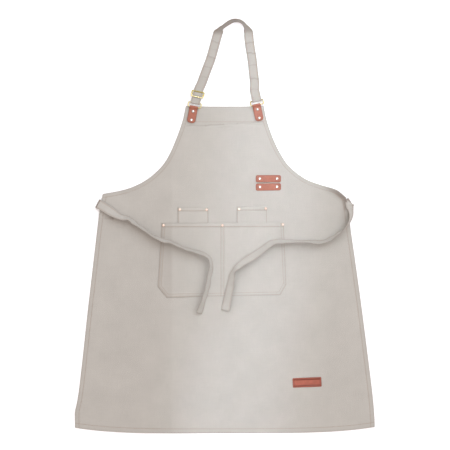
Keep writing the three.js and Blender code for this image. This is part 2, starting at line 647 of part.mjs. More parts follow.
// A flat strap along a table of rows, each with a place, a bank and the height of what it rests on.
// The route first runs back on itself, and keeps its right edge after that fold.
function ribbonGeometry(rows) {
  const rests = rows.map((row) => row.rest ?? coverTop(row.x, row.y) + LAID_GAP);
  const route = new THREE.CatmullRomCurve3(rows.map((row, i) => new THREE.Vector3(row.x, row.y, rests[i])));
  const steps = (rows.length - 1) * RIBBON_STEPS;
  const banks = [];
  const middles = [];
  for (let i = 0; i <= steps; i++) {
    const at = Math.min(Math.floor(i / RIBBON_STEPS), rows.length - 2);
    const bank = radians(THREE.MathUtils.lerp(rows[at].bank, rows[at + 1].bank, i / RIBBON_STEPS - at));
    const middle = route.getPoint(i / steps);
    const stands = STRAP_THICK * Math.abs(Math.cos(bank)) + STRAP_WIDTH * Math.abs(Math.sin(bank));
    middle.z = Math.max(middle.z, 0) + stands / 2;
    banks.push(bank);
    middles.push(middle);
  }
  const points = [];
  const triangles = [];
  const across = new THREE.Vector3();
  middles.forEach((middle, i) => {
    const before = middles[Math.max(i - 1, 0)];
    const after = middles[Math.min(i + 1, steps)];
    const run = after.clone().sub(before).normalize();
    const level = run.clone().cross(UP);
    if (i === 0) across.copy(level).negate();
    const steep = level.length() < STEEP;
    const guide = steep ? across.clone().addScaledVector(run, -across.dot(run)) : level;
    across.copy(guide.multiplyScalar(guide.dot(across) < 0 ? -1 : 1).normalize());
    const face = across.clone().cross(run);
    const edge = across.clone().multiplyScalar(Math.cos(banks[i])).addScaledVector(face, Math.sin(banks[i]));
    const thick = edge.clone().cross(run).multiplyScalar(STRAP_THICK / 2);
    edge.multiplyScalar(STRAP_WIDTH / 2);
    for (const [e, f] of [[1, 1], [1, -1], [-1, -1], [-1, 1]]) {
      const corner = middle.clone().addScaledVector(edge, e).addScaledVector(thick, f);
      points.push(corner.x, corner.y, corner.z);
    }
    const base = 4 * i;
    if (i === 0) triangles.push(0, 3, 2, 0, 2, 1);
    if (i === steps) triangles.push(base, base + 1, base + 2, base, base + 2, base + 3);
    for (let k = 0; i < steps && k < 4; k++) {
      const next = (k + 1) % 4;
      triangles.push(base + k, base + next, base + 4 + next, base + k, base + 4 + next, base + 4 + k);
    }
  });
  const geometry = new THREE.BufferGeometry();
  geometry.setAttribute("position", new THREE.Float32BufferAttribute(points, 3));
  geometry.setIndex(triangles);
  return geometry;
}

// A row of a strap's table at a distance along a leaning axis, at a height of its middle
function rowAlong(base, lean, along, height, shift = 0) {
  const angle = radians(lean);
  const x = base.x - Math.sin(angle) * along + Math.cos(angle) * shift;
  const y = base.y + Math.cos(angle) * along + Math.sin(angle) * shift;
  return { x, y, bank: 0, rest: height - STRAP_THICK / 2 };
}

// A half turn round a bar, from below it to above it or the other way
function halfTurn(reach, barZ, turn, upwards) {
  const quarters = [-2, -1, 0, 1, 2].map((q) => (q * Math.PI / 4) * (upwards ? 1 : -1));
  return quarters.map((angle) => ({ along: reach * Math.cos(angle), height: barZ + turn * Math.sin(angle) }));
}

function neckStrapRows() {
  const [left, right] = TABS;
  const barReach = RING_BARS * Math.cos(radians(RING_TILT));
  const barZ = FOLD_Z + RING_BARS * Math.sin(radians(RING_TILT));
  const turn = WIRE / 2 + GAP + STRAP_THICK / 2;
  const onRing = (tab) => (row) => rowAlong(tab, tab.lean, barReach + row.along, row.height, tab.strapShift);
  const onBuckle = (row) => rowAlong(BUCKLE, BUCKLE.lean, row.along, row.height);
  const middleBarZ = MIDDLE_BAR_Z + MIDDLE_BAR_THICK / 2;
  const wrap = (MIDDLE_BAR_THICK + STRAP_THICK) / 2 + GAP;
  return [
    ...UNDER_RIGHT_RING.map(onRing(right)),
    ...halfTurn(-turn, barZ, turn, true).map(onRing(right)),
    ...OVER_RIGHT_RING.map(onRing(right)),
    ...NECK_ROUTE.map((row) => ({ ...row, rest: 0 })),
    ...THROUGH_BUCKLE.map(onBuckle),
    ...OVER_LEFT_RING.map(onRing(left)),
    ...halfTurn(-turn, barZ, turn, false).map(onRing(left)),
    ...UNDER_LEFT_RING.map(onRing(left)),
    onBuckle({ along: -SEWN_END_APPROACH, height: middleBarZ - wrap }),
    ...halfTurn(wrap + SEWN_END_EASE, middleBarZ, wrap, true).map(onBuckle),
    onBuckle({ along: -SEWN_END_TAIL, height: middleBarZ + wrap }),
  ];
}

const loopHoles = [-1, 1].map((end) => ({ x: end * LOOP_RIVET_SPREAD / 2, y: 0 }));
const placed = (item, local) => {
  const angle = radians(item.turn ?? item.lean);
  const x = item.x + local.x * Math.cos(angle) - local.y * Math.sin(angle);
  const y = item.y + local.x * Math.sin(angle) + local.y * Math.cos(angle);
  return { x, y };
};
const tabRivets = TABS.flatMap((tab) => TAB_RIVETS.map((rivet) => ({
  name: `rivet_tab_${tab.side}_${rivet.name}`,
  ...placed(tab, { x: 0, y: -rivet.along }),
})));
const loopRivets = TOOL_LOOPS.flatMap((bar) => loopHoles.map((hole, end) => ({
  name: `rivet_loop_${bar.rivets}_${["left", "right"][end]}`,
  ...placed(bar, hole),
})));

addPiece("body_panel", drilled(panelGeometry(), [...tabRivets, ...loopRivets, ...POCKET_RIVETS]), CANVAS);
addPiece("pocket_main", drilled(mainPocketGeometry(), POCKET_RIVETS.slice(0, 3)), CANVAS);
PEN_POCKETS.forEach((pocket, i) => {
  const holes = POCKET_RIVETS.slice(3 + 2 * i, 5 + 2 * i);
  addPiece(pocket.name, drilled(penPocketGeometry(pocket), holes), CANVAS);
});

for (const tab of TABS) {
  const strip = addPiece(`leather_tab_${tab.side}`, tabGeometry(), TAN_LEATHER);
  strip.position.set(tab.x, tab.y, 0);
  strip.rotation.z = radians(tab.lean);
  const ring = addPiece(`ring_${tab.side}`, wireRingGeometry(), BRASS);
  const reach = (RING_BARS / 2) * Math.cos(radians(RING_TILT));
  const middle = rowAlong(tab, tab.lean, reach, 0, tab.ringShift);
  ring.position.set(middle.x, middle.y, FOLD_Z + (RING_BARS / 2) * Math.sin(radians(RING_TILT)));
  ring.rotation.set(radians(RING_TILT), 0, radians(tab.lean), "ZYX");
}

for (const bar of TOOL_LOOPS) {
  const bowed = patchGeometry(LOOP_LENGTH, LOOP_WIDTH, LOOP_BOW);
  const strip = addPiece(bar.name, drilled(bowed, loopHoles), TAN_LEATHER);
  strip.position.set(bar.x, bar.y, 0);
  strip.rotation.z = radians(bar.turn);
}

const label = addPiece(LABEL.name, patchGeometry(LABEL.length, LABEL.width, 0), TAN_LEATHER);
label.position.set(LABEL.x, LABEL.y, 0);
label.rotation.z = radians(LABEL.turn);

const buckle = addPiece("slide_buckle", buckleGeometry(), BRASS);
buckle.position.set(BUCKLE.x, BUCKLE.y, 0);
buckle.rotation.z = radians(BUCKLE.lean);

addPiece("neck_strap", ribbonGeometry(neckStrapRows()), CANVAS);
addPiece("waist_tie_left", ribbonGeometry(LEFT_TIE), CANVAS);
addPiece("waist_tie_right", ribbonGeometry(RIGHT_TIE), CANVAS);

for (const rivet of tabRivets) {
  addPiece(rivet.name, rivetGeometry(TAB_TOP), STEEL).position.set(rivet.x, rivet.y, 0);
}
for (const rivet of loopRivets) {
  addPiece(rivet.name, rivetGeometry(HEM_CLOTH + GAP + LEATHER), STEEL).position.set(rivet.x, rivet.y, 0);
}
for (const rivet of POCKET_RIVETS) {
  addPiece(rivet.name, rivetGeometry(2 * HEM_CLOTH + GAP), COPPER).position.set(rivet.x, rivet.y, 0);
}

export default apron;
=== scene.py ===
"""A canvas work apron laid flat, its cloth, straps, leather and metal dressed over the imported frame."""

import functools
import math
from typing import NamedTuple

import bpy
import numpy as np
from bpy.props import FloatProperty, FloatVectorProperty, PointerProperty
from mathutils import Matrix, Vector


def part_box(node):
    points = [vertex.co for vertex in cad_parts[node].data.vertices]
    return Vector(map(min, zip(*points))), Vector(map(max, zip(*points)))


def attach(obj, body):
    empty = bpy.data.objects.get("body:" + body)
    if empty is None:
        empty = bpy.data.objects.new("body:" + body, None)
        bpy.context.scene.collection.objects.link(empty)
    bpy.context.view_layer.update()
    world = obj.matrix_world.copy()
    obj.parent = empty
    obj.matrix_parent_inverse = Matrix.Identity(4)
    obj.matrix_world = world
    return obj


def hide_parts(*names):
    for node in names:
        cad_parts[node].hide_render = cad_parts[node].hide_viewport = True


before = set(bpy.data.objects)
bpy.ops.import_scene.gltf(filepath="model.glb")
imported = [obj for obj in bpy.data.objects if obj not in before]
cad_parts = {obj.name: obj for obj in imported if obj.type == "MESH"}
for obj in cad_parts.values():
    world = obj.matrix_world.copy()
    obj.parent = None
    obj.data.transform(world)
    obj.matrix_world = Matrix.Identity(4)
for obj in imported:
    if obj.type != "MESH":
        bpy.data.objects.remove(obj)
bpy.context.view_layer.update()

bl_info = {
    "name": "Canvas Apron",
    "version": (1, 0, 0),
    "blender": (4, 5, 0),
    "location": "View3D > Sidebar > Apron",
    "description": "Builds a canvas bib apron, laid flat, over its packed frame",
    "category": "Mesh",
}

# Everything is in metres, with the apron's front up and +Y from the hem to the neck.
BODY = "root"
GAP = 0.0003
UP = (0.0, 0.0, 1.0)
TURN = 2 * math.pi
BIB_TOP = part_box("body_panel")[1].y


def table(kind, *rows):
    """Rows of one kind, from plain tuples."""
    return tuple(kind(*row) for row in rows)


class EdgeRow(NamedTuple):
    """A level of the panel: how far its ends lie below the bib's top and from the middle, the sag of its
    middle, and the spacing of the grid rows from here to the next level."""

    left_below: float
    left: float
    right_below: float
    right: float
    sag: float
    spacing: float


ARMHOLE = table(
    EdgeRow,
    (0.000, 0.097, 0.000, 0.097, 0.0015, 0.0016),
    (0.037, 0.105, 0.037, 0.105, 0.0015, 0.0013),
    (0.085, 0.122, 0.085, 0.122, 0.002, 0.0040),
    (0.123, 0.139, 0.123, 0.141, 0.001, 0.0040),
    (0.148, 0.155, 0.148, 0.158, 0.000, 0.0040),
    (0.173, 0.180, 0.171, 0.184, 0.000, 0.0036),
    (0.191, 0.206, 0.186, 0.208, 0.000, 0.0032),
    (0.204, 0.234, 0.198, 0.241, 0.000, 0.0032),
    (0.213, 0.266, 0.211, 0.279, 0.000, 0.0032),
    (0.220, 0.304, 0.229, 0.301, 0.000, 0.0032),
)
SKIRT = table(
    EdgeRow,
    (0.220, 0.304, 0.229, 0.301, 0.000, 0.0030),
    (0.245, 0.310, 0.248, 0.306, 0.000, 0.0050),
    (0.298, 0.317, 0.298, 0.313, 0.000, 0.0060),
    (0.490, 0.3395, 0.490, 0.340, 0.003, 0.0060),
    (0.730, 0.367, 0.730, 0.370, 0.009, 0.0050),
    (0.765, 0.374, 0.765, 0.373, 0.012, 0.0025),
    (0.792, 0.374, 0.790, 0.3745, 0.015, 0.0012),
    (0.804, 0.374, 0.802, 0.3745, 0.015, 0.0012),
)

# The depths of the hems' stitching, and the spacing of their paths
ARMHOLE_HEM = 0.009
SIDE_HEM = 0.010
BOTTOM_HEM = 0.0115
FACING = 0.0385
ARMHOLE_STEP = 0.006
SIDE_STEP = 0.008
LEVEL_STEP = 0.010

# The panel's grid
HEM_COLUMNS = np.array((0.0, 0.0004, 0.0012, 0.0035, 0.007, 0.0092, 0.010, 0.0108, 0.0128, 0.0165))
INNER_COLUMNS = 128
STEEPEST_SLANT = 4.5
SLANT_REACH = 7
RIM_CLEAR = 0.001
TOP_CLEAR = 0.003

# The cloth, and the heights of the panel's front
CLOTH = 0.001
THINNEST = 0.0003
PANEL_FRONT = 0.002
FACING_LIFT = 0.001
FACING_DEPTH = 0.045
FACING_FADE = 0.120
HEM_RISE = 0.00025
HEM_FADE = 0.0016
EDGE_ROUND = 0.001
EDGE_FALL = 0.00085
EDGE_THIN = 0.0017

# Sewn lines: grooves, and puckers that pull at the cloth beside them, both weaker at the facing
GROOVE_WIDTH = 0.0009
GROOVE_DEPTH = 0.00034
FACING_GROOVE = 0.6
PUCKER_REACH = 0.005
PUCKER_HEIGHT = 0.00014
PUCKER_WAVE = (0.0085 / TURN, 0.021, 2.2)
FACING_PUCKER = 0.35
STITCH_SAMPLE = 0.0015
STITCH_LIFT = 0.00012
STITCH_SIDES = 6
STITCH_FLAT = 0.8
STITCH_PROFILE = (
    (-1.0, 0.35, -0.75), (-0.72, 0.85, -0.15), (0.0, 1.0, 0.1), (0.72, 0.85, -0.15), (1.0, 0.35, -0.75),
)


class WearAndShade(NamedTuple):
    """How dark a sheet is at its edge, from wear and from painted shade along its outline, and how far in
    from there, then along its seams, on its hems and on its pressed side."""

    edge: float
    reach: float
    seam: float
    hem: float
    press: float


PANEL_WEAR_AND_SHADE = WearAndShade(0.60, 0.0022, 0.42, 0.06, 0.12)
POCKET_WEAR_AND_SHADE = WearAndShade(0.50, 0.0012, 0.48, 0.0, 0.34)
# The most that wear and painted shade darken a surface
MOST_DARKENED = 2.0

# The line along which the apron was folded, and the far end of the darker cloth on its left
PRESS_X = -0.1320
PRESS_SOFT = 0.003
PRESS_END = -0.42


class CornerLift(NamedTuple):
    """Where a tie that is sewn behind the panel raises a waist corner."""

    x: float
    y: float
    lift: float
    reach: float


CORNER_LIFTS = (CornerLift(-0.300, 0.052, 0.0027, 0.032), CornerLift(0.300, 0.064, 0.0060, 0.030))

# The right corner's edge, where it curls up and the shade inside the curl is painted, as distances from the
# middle and below the bib's top. The curl and the painted shade grow and end between distances along it.
CURL_EDGE = (
    (0.236, 0.1965), (0.279, 0.211), (0.301, 0.229), (0.3065, 0.246), (0.307, 0.262), (0.305, 0.284),
)
CURL_LIFT = 0.0085
CURL_REACH = 0.018
CURL_GROWS = (0.004, 0.055)
CURL_ENDS = (0.108, 0.136)
CURL_SHADE = 1.7
CURL_SHADE_BAND = 0.0135
CURL_SHADE_CORE = 0.3
CURL_SHADE_GROWS = (0.0, 0.060)
CURL_SHADE_ENDS = (0.098, 0.112)


class Crease(NamedTuple):
    """A pressed fold in the cloth: its two ends, its height, how far its flanks reach, and how dark the
    painted shade along its line is."""

    x0: float
    y0: float
    x1: float
    y1: float
    height: float
    reach: float
    mark: float = 0.0


CREASES = table(
    Crease,
    (-0.132, 0.130, -0.128, -0.530, 0.0016, 0.030),
    (0.156, 0.060, 0.160, -0.530, 0.0010, 0.030),
    (-0.100, 0.2500, -0.046, 0.2508, -0.0008, 0.0026, 0.60),
    (-0.053, 0.2500, -0.001, 0.2540, -0.0010, 0.0026, 0.85),
    (-0.008, 0.2532, 0.034, 0.2560, -0.0005, 0.0026, 0.28),
    (0.022, 0.2550, 0.098, 0.2588, -0.0007, 0.0026, 0.42),
    (-0.022, 0.2460, 0.020, 0.2478, -0.0005, 0.0026, 0.20),
    (0.045, 0.2527, 0.094, 0.2535, -0.0005, 0.0024, 0.22),
    (-0.306, 0.0222, -0.277, 0.0186, -0.0012, 0.0030, 1.60),
    (-0.118, 0.0585, -0.052, 0.0600, 0.0005, 0.0025),
    (0.026, 0.0560, 0.088, 0.0575, 0.0004, 0.0025),
    (0.104, 0.0130, 0.146, 0.0145, 0.0005, 0.0025),
    (-0.255, 0.010, -0.215, -0.330, 0.0005, 0.050),
)
CREASE_ROUND = 0.0012
CREASE_STRAY = 0.0006
CREASE_WAVE = (0.006, 0.017, 2.0)
CREASE_STARTS = (0.0, 0.12)
CREASE_ENDS = (0.0, 0.06)
# Middle and width of the painted shade line along each crease
CREASE_SHADE_LINE = (0.0003, 0.0013)

# Soft waves over the whole cloth
WAVE_COUNT = 18
WAVE_SHORTEST = 0.045
WAVE_LONGEST = 0.26
WAVE_SLOPE = 0.0075
WAVE_SEED = 11

# Pockets: their stitching, the layers at hem and seams, and how far the wide one stands off the panel
SEAM_LINES = (0.0022, 0.0084)
DIVIDER_LINES = (-0.0099, -0.0026)
POCKET_SEAM_X = -0.006
POCKET_HEM = 0.0090
POCKET_HEM_FADE = 0.0014
POCKET_HEM_RISE = 0.0009
POCKET_EDGE = 0.0009
SEAM_RISE = 0.00045
SEAM_FADE = (0.001, 0.004)
SEAM_GROOVE_WIDTH = 0.0008
SEAM_GROOVE_DEPTH = 0.00042
SEAM_PUCKER = 0.0001
SEAM_PUCKER_REACH = 0.004
SEAM_WAVE = (0.009 / TURN, 0.017, 2.0)
DIVIDER_TOP = 0.004
POCKET_CROWN = 0.0016
CROWN_RAMP = (0.07, 0.3)
RIM_COLUMNS = (0.0, 0.0004, 0.0011)
SEAM_COLUMNS = (-0.0007, 0.0, 0.0007)
PAST_SEAM_COLUMNS = (0.002, 0.004)
DIVIDER_COLUMNS = (-0.0008, 0.0, 0.0008)
POCKET_COLUMNS = 44
PEN_COLUMNS = 30
HEM_TRIM = 0.012
DIVIDER_TRIM = 0.002


class PocketRow(NamedTuple):
    """A level of a pocket: its left and right ends, and the spacing of the grid rows below it."""

    left: float
    left_y: float
    right: float
    right_y: float
    spacing: float


MAIN_POCKET = table(
    PocketRow,
    (-0.1575, 0.0075, 0.1480, 0.0080, 0.0008),
    (-0.1580, -0.0030, 0.1485, -0.0025, 0.0035),
    (-0.1675, -0.1510, 0.1550, -0.1460, 0.0020),
    (-0.1533, -0.1687, 0.1455, -0.1630, 0.0008),
    (-0.1450, -0.1790, 0.1400, -0.1730, 0.0008),
)
PEN_WIDTH = 0.077
PEN_TOPS = {"pen_pocket_left": (-0.079, 0.047), "pen_pocket_right": (0.068, 0.049)}
PEN_DEPTH = 0.118
PEN_HEM = 0.013
PEN_TRIM = 0.003
PEN_SEAM_END = -0.002
PEN_SPACINGS = (0.0008, 0.0030, 0.0030)

# Straps and leather
STRAP_WIDTH = 0.0235
STRAP_THICK = 0.0016
LEATHER = 0.0015
LEATHER_OUTER = ((0.0, 0.1), (0.0001, 0.55), (0.0003, 0.85), (0.0007, 0.98), (0.0014, 1.0))
LEATHER_SHARES = (-0.7, -0.4, 0.0, 0.4, 0.7)
LEATHER_RUB = 0.0009


class Tab(NamedTuple):
    """The fold of a leather tab: its place, its lean in degrees, and how far ring and strap are shifted."""

    x: float
    y: float
    lean: float
    ring_shift: float = 0.0
    strap_shift: float = 0.0


TABS = {
    "left": Tab(-0.0771, 0.2966, -11.0, 0.0009, 0.0013),
    "right": Tab(0.0792, 0.3013, 12.0, 0.0023, 0.0034),
}
TAB_WIDTH = 0.021
TAB_LENGTH = 0.040
TAB_TIP_RADIUS = 0.008
WIRE = 0.003
RING_WIDTH = 0.0355
RING_BARS = 0.0115
RING_CORNER = 0.0035
RING_TILT = -8.5
FOLD_INNER = WIRE / 2 + GAP
TAB_BOTTOM = PANEL_FRONT + FACING_LIFT + GAP
FOLD_Z = TAB_BOTTOM + LEATHER + FOLD_INNER
TAB_TOP = TAB_BOTTOM + 2 * LEATHER + GAP
FOLD_RUN = 0.0068

# How dark the painted reflection on the rings' upper bars is, and what the darkening leaves of each of a
# metal's colours
RING_REFLECTION_DARK = {"ring_left": 0.25, "ring_right": 0.95}
DARKENED_SHARES = (0.48, 0.44, 0.22)

# Slide buckle
BUCKLE = Tab(-0.0675, 0.3284, -12.5)
BUCKLE_WIDTH = 0.033
BUCKLE_HEIGHT = 0.016
BUCKLE_BAR = 0.0026
BUCKLE_RAIL = 0.0032
BUCKLE_CORNER = 0.0025
BUCKLE_FRAME_Z = 0.0058
BUCKLE_FRAME_THICK = 0.0020
MIDDLE_BAR_Z = 0.0022
MIDDLE_BAR_THICK = 0.0016
MIDDLE_BAR_DEPTH = 0.0024
POST_WIDTH = 0.0028
POST_DEPTH = 0.0034
BUCKLE_INNER_CORNER = 0.001
BUCKLE_SOFT = 0.22
BAR_SOFT = 0.0005
# Painted dark reflection on the slide's upper bar, growing between these shares of its height
BUCKLE_REFLECTION_DARK = (-0.45, 0.40)


class Row(NamedTuple):
    """A place on a strap's route: its bank in degrees, and the height it rests at, if not on the cloth."""

    x: float
    y: float
    bank: float = 0.0
    rest: float | None = None


NECK_ROUTE = table(
    Row,
    (0.0748, 0.355), (0.0716, 0.385), (0.0684, 0.415), (0.0629, 0.450), (0.0604, 0.472, 3),
    (0.0593, 0.484, 20), (0.0562, 0.4908, 54), (0.0517, 0.4975, 73), (0.0452, 0.5056, 81),
    (0.0372, 0.5104, 82), (0.0284, 0.5116, 80), (0.0198, 0.5106, 78), (0.0116, 0.5068, 75),
    (0.0036, 0.5019, 76), (-0.0049, 0.4954, 78), (-0.0115, 0.4898, 66), (-0.0158, 0.484, 20),
    (-0.0182, 0.4775), (-0.0271, 0.445), (-0.0359, 0.415), (-0.0474, 0.385), (-0.0585, 0.355),
)
LEFT_TIE = table(
    Row,
    (-0.283, 0.037, 0, 0.000), (-0.300, 0.0465, 0, 0.000), (-0.3149, 0.0548, 0, 0.000),
    (-0.3173, 0.0561, 0, 0.0026), (-0.3149, 0.0548, 0, 0.0052), (-0.300, 0.0462, 8), (-0.283, 0.035, 25),
    (-0.2685, 0.0255, 42), (-0.254, 0.0203, 57), (-0.2395, 0.0183, 66), (-0.2285, 0.011, 70),
    (-0.218, 0.0024, 73), (-0.1975, -0.0118, 74), (-0.176, -0.0266, 74), (-0.154, -0.0366, 73),
    (-0.1365, -0.0393, 71), (-0.1185, -0.0473, 73), (-0.100, -0.0566, 74), (-0.0845, -0.061, 73),
    (-0.066, -0.0666, 72), (-0.049, -0.0726, 69), (-0.038, -0.081, 64), (-0.0348, -0.094, 64),
    (-0.036, -0.110, 64), (-0.040, -0.132, 64), (-0.0455, -0.157, 62), (-0.0525, -0.182, 58),
    (-0.0585, -0.2015, 56), (-0.064, -0.217, 56),
)
RIGHT_TIE = table(
    Row,
    (0.283, 0.0375, 0, 0.000), (0.2975, 0.0481, 0, 0.000), (0.3114, 0.0582, 0, 0.000),
    (0.3138, 0.0599, 0, 0.0046), (0.3112, 0.057, 10, 0.0092), (0.3106, 0.0496, 34, 0.006),
    (0.3118, 0.040, 53, 0.003), (0.3122, 0.026, 60, 0.005), (0.3068, 0.008, 70), (0.2945, -0.0095, 90),
    (0.2795, -0.021, 106), (0.264, -0.0323, 113), (0.250, -0.0393, 112), (0.2315, -0.041, 108),
    (0.203, -0.0396, 108), (0.174, -0.0386, 108), (0.1515, -0.039, 114), (0.127, -0.040, 122),
    (0.111, -0.047, 135), (0.0963, -0.058, 142), (0.0723, -0.0745, 143), (0.0488, -0.0895, 140),
    (0.0325, -0.1015, 128), (0.0245, -0.1115, 122), (0.0195, -0.124, 130), (0.015, -0.1455, 140),
    (0.0096, -0.1695, 152), (0.0048, -0.1935, 160), (0.0022, -0.211, 158),
)


class StrapCrease(NamedTuple):
    """A crease across the neck strap: where it lies, its height, and its slant across the strap."""

    x: float
    y: float
    height: float
    lean: float


STRAP_CREASES = table(
    StrapCrease,
    (0.0625, 0.4592, 0.0011, -0.05),
    (0.0657, 0.4332, 0.0020, 0.28),
    (0.0707, 0.4035, 0.0008, 0.00),
    (0.0735, 0.3697, 0.0013, 0.17),
    (0.0771, 0.3425, 0.0006, 0.05),
    (-0.0225, 0.4586, 0.0014, 0.12),
    (-0.0306, 0.4410, 0.0006, -0.10),
    (-0.0342, 0.4211, 0.0021, 0.04),
    (-0.0442, 0.3967, 0.0013, -0.15),
    (-0.0515, 0.3712, 0.0010, -0.37),
)
CREASE_BACK = 0.003
CREASE_RAGGED = 0.0009
CREASE_REACH = 0.0035
# How dark the painted shade along the neck strap's cross creases is, for each crease's height
CREASE_PAINTED_SHADE = 480
LAP_SEAM = (0.0790, 0.3215)
LAP_TRIM = 0.0030

# Darker lengths of the straps: light soil over the whole neck strap, and painted shade on its arch and at
# the ties' folds
STRAP_SOIL = 0.22
ARCH_ENDS = ((0.0593, 0.484), (-0.0158, 0.484))
ARCH_PAINTED_SHADE = 0.65
ARCH_PAINTED_SHADE_OVER = 0.006
ARCH_SHADE = 0.55
ARCH_SHADE_AT = 0.72
ARCH_SHADE_REACH = 0.036
TIE_FOLDS = {"waist_tie_left": (-0.3173, 0.0561), "waist_tie_right": (0.3138, 0.0599)}
TIE_FOLD_PAINTED_SHADE = 2.0
TIE_FOLD_REACH = 0.0065
TIE_FOLD_BACK = 0.002

# How the straps lie and are sewn
LAID_GAP = 0.0005
RIBBON_SPACING = 0.0013
STRAP_STITCH_LIFT = 0.0001
UPPER_FAVOUR = 0.5
STEEP = 0.35
FLOOR_CLEAR = 0.0006
EDGE_STITCH = 0.0032
STITCH_SEAT = 0.36
LAP_SEAT = 0.56
STITCH_DARK = 0.30
TAPE_OUTER = ((0.0, 0.06), (0.00025, 0.62), (0.0008, 0.92), (0.0016, 0.96), (0.0032, 0.70), (0.0039, 0.94))
TAPE_SHARES = (-0.6, -0.3, 0.0, 0.3, 0.6)
# How far in a strap's edges are darkened, partly by wear and partly as painted shade along its outline
TAPE_EDGE_DARK = 0.0018
TIE_WOBBLE = 4.0
WOBBLE_BANKS = (15.0, 45.0)
SWAY_WAVE = (0.0062, 0.023, 2.1)
SLOW_SWAY = 0.6
SLOW_PITCH = 0.0147
RIPPLE_WAVE = (0.0115, 0.031, 1.7)
NECK_RIPPLE = 0.00025
TIE_RIPPLE = 0.0009
STRAP_CUP = 0.0002
CUP_PITCH = 0.043

# The neck strap at the rings and the slide, as distances along and heights
UNDER_RIGHT_RING = ((0.016, 0.0014), (0.006, 0.0018))
OVER_RIGHT_RING = ((0.006, 0.0056), (0.016, 0.0034), (0.028, STRAP_THICK / 2))
OVER_LEFT_RING = ((0.005, 0.0058),)
UNDER_LEFT_RING = ((0.006, 0.0014),)
OUTER_BAR = (BUCKLE_HEIGHT - BUCKLE_BAR) / 2
THROUGH_BUCKLE = (
    (0.015, 0.0014), (OUTER_BAR, 0.0038), (OUTER_BAR * 0.55, 0.0064), (0.0, 0.0070),
    (-OUTER_BAR * 0.55, 0.0064), (-OUTER_BAR, 0.0038),
)
SEWN_END_TAIL = 0.001
SEWN_END_APPROACH = 0.005
SEWN_END_EASE = 0.0009

# Tool loops and label
LOOP_LENGTH = 0.063
LOOP_WIDTH = 0.018
LOOP_RIVET_SPREAD = 0.043
LOOP_BOW = 0.0012
LOOP_TURNS = {"tool_loop_upper": 0.0, "tool_loop_lower": 1.0}
LOOP_CORNER = 0.0045
LABEL_LENGTH = 0.072
LABEL_WIDTH = 0.024
LABEL_TURN = 2.3
LABEL_CORNER = 0.0022
LABEL_BORDER = 0.0038
LABEL_GROOVE = 0.0004
LABEL_LINE = 0.0008
LABEL_LINES = [LABEL_BORDER + step for step in (-0.0006, -0.0003, 0.0, 0.0003, 0.0006)]
LOOP_STATIONS = 36
LABEL_STATIONS = 90

# Rivets: their finish, their slot and how brown their brim is, by where they sit, then the dome on each cap
# and the shares of the cap between which the brim turns brown
RIVET_KINDS = {
    "tab": ("nickel_plate", "steel", 0.0),
    "loop": ("nickel_plate", "steel", 0.0),
    "pocket": ("copper_plate", "copper", 0.9),
    "pen": ("copper_plate", "copper", 0.9),
}
RIVET_DOME = 0.0009
RIVET_BRIM = (0.72, 0.98)

# The stage
FLOOR_HALF = 6.0
FLOOR_Z = -0.0002
CAMERA_X = 0.000625
CAMERA_Y = 0.0025
SENSOR_WIDTH = 36.0


class Lamp(NamedTuple):
    """A soft rectangular lamp: its place, the point it faces and its size, and its beam's width and its
    roll in degrees."""

    place: tuple
    aim: tuple
    size: tuple
    spread: float
    roll: float = 0.0


KEY_LAMP = Lamp((0.70, 1.15, 1.95), (0.0, 0.0, 0.0), (2.30, 2.30), 180.0)
TOP_LAMP = Lamp((0.094, 0.01, 1.60), (0.094, 0.01, 0.0), (0.26, 1.40), 10.5, -8.0)


def ease(value, low, high):
    """0 below low, 1 above high, and smooth between."""
    share = np.clip((value - low) / (high - low), 0.0, 1.0)
    return share * share * (3.0 - 2.0 * share)


def bell(value, middle, width):
    """A smooth hump of height 1."""
    return np.exp(-(((value - middle) / width) ** 2))


def lerp(a, b, share):
    """The value at a share of the way from a to b."""
    return a + (b - a) * share


def unit(vectors):
    """Vectors made one long."""
    return vectors / np.maximum(np.linalg.norm(vectors, axis=-1, keepdims=True), 1e-12)


def rounding(away, reach):
    """How far a round edge has fallen at distances from it: 1 at the edge, and 0 beyond its reach."""
    return 1 - np.sqrt(1 - (1 - np.clip(away / reach, 0, 1)) ** 2)


def uneven_wave(along, pitch, drift, depth):
    """A wave whose pitch drifts."""
    return np.sin(along / pitch + depth * np.sin(along / drift))


def way_along(path):
    """The distance along a path at each of its points."""
    return np.concatenate(([0.0], np.cumsum(np.linalg.norm(np.diff(path, axis=0), axis=1))))


def between(at, known, values):
    """Rows of values at places between the known ones."""
    return np.stack([np.interp(at, known, column) for column in values.T], axis=1)


def smooth_through(points, steps):
    """A smooth curve through points, with so many samples in each section."""
    known = np.asarray(points, float)
    known = np.vstack((2 * known[0] - known[1], known, 2 * known[-1] - known[-2]))
    pace = np.maximum(np.linalg.norm(np.diff(known, axis=0), axis=1), 1e-9) ** 0.5
    sampled = []
    for i, count in enumerate(steps):
        a, b, c, d = known[i:i + 4]
        p, q, r = pace[i:i + 3]
        leave = ((b - a) / p - (c - a) / (p + q) + (c - b) / q) * q
        arrive = ((c - b) / q - (d - b) / (q + r) + (d - c) / r) * q
        t = (np.arange(count) / count)[:, None]
        bend = 3 * (c - b) - 2 * leave - arrive
        twist = 2 * (b - c) + leave + arrive
        sampled.append(b + t * (leave + t * (bend + t * twist)))
    sampled.append(known[-2:-1])
    return np.vstack(sampled)


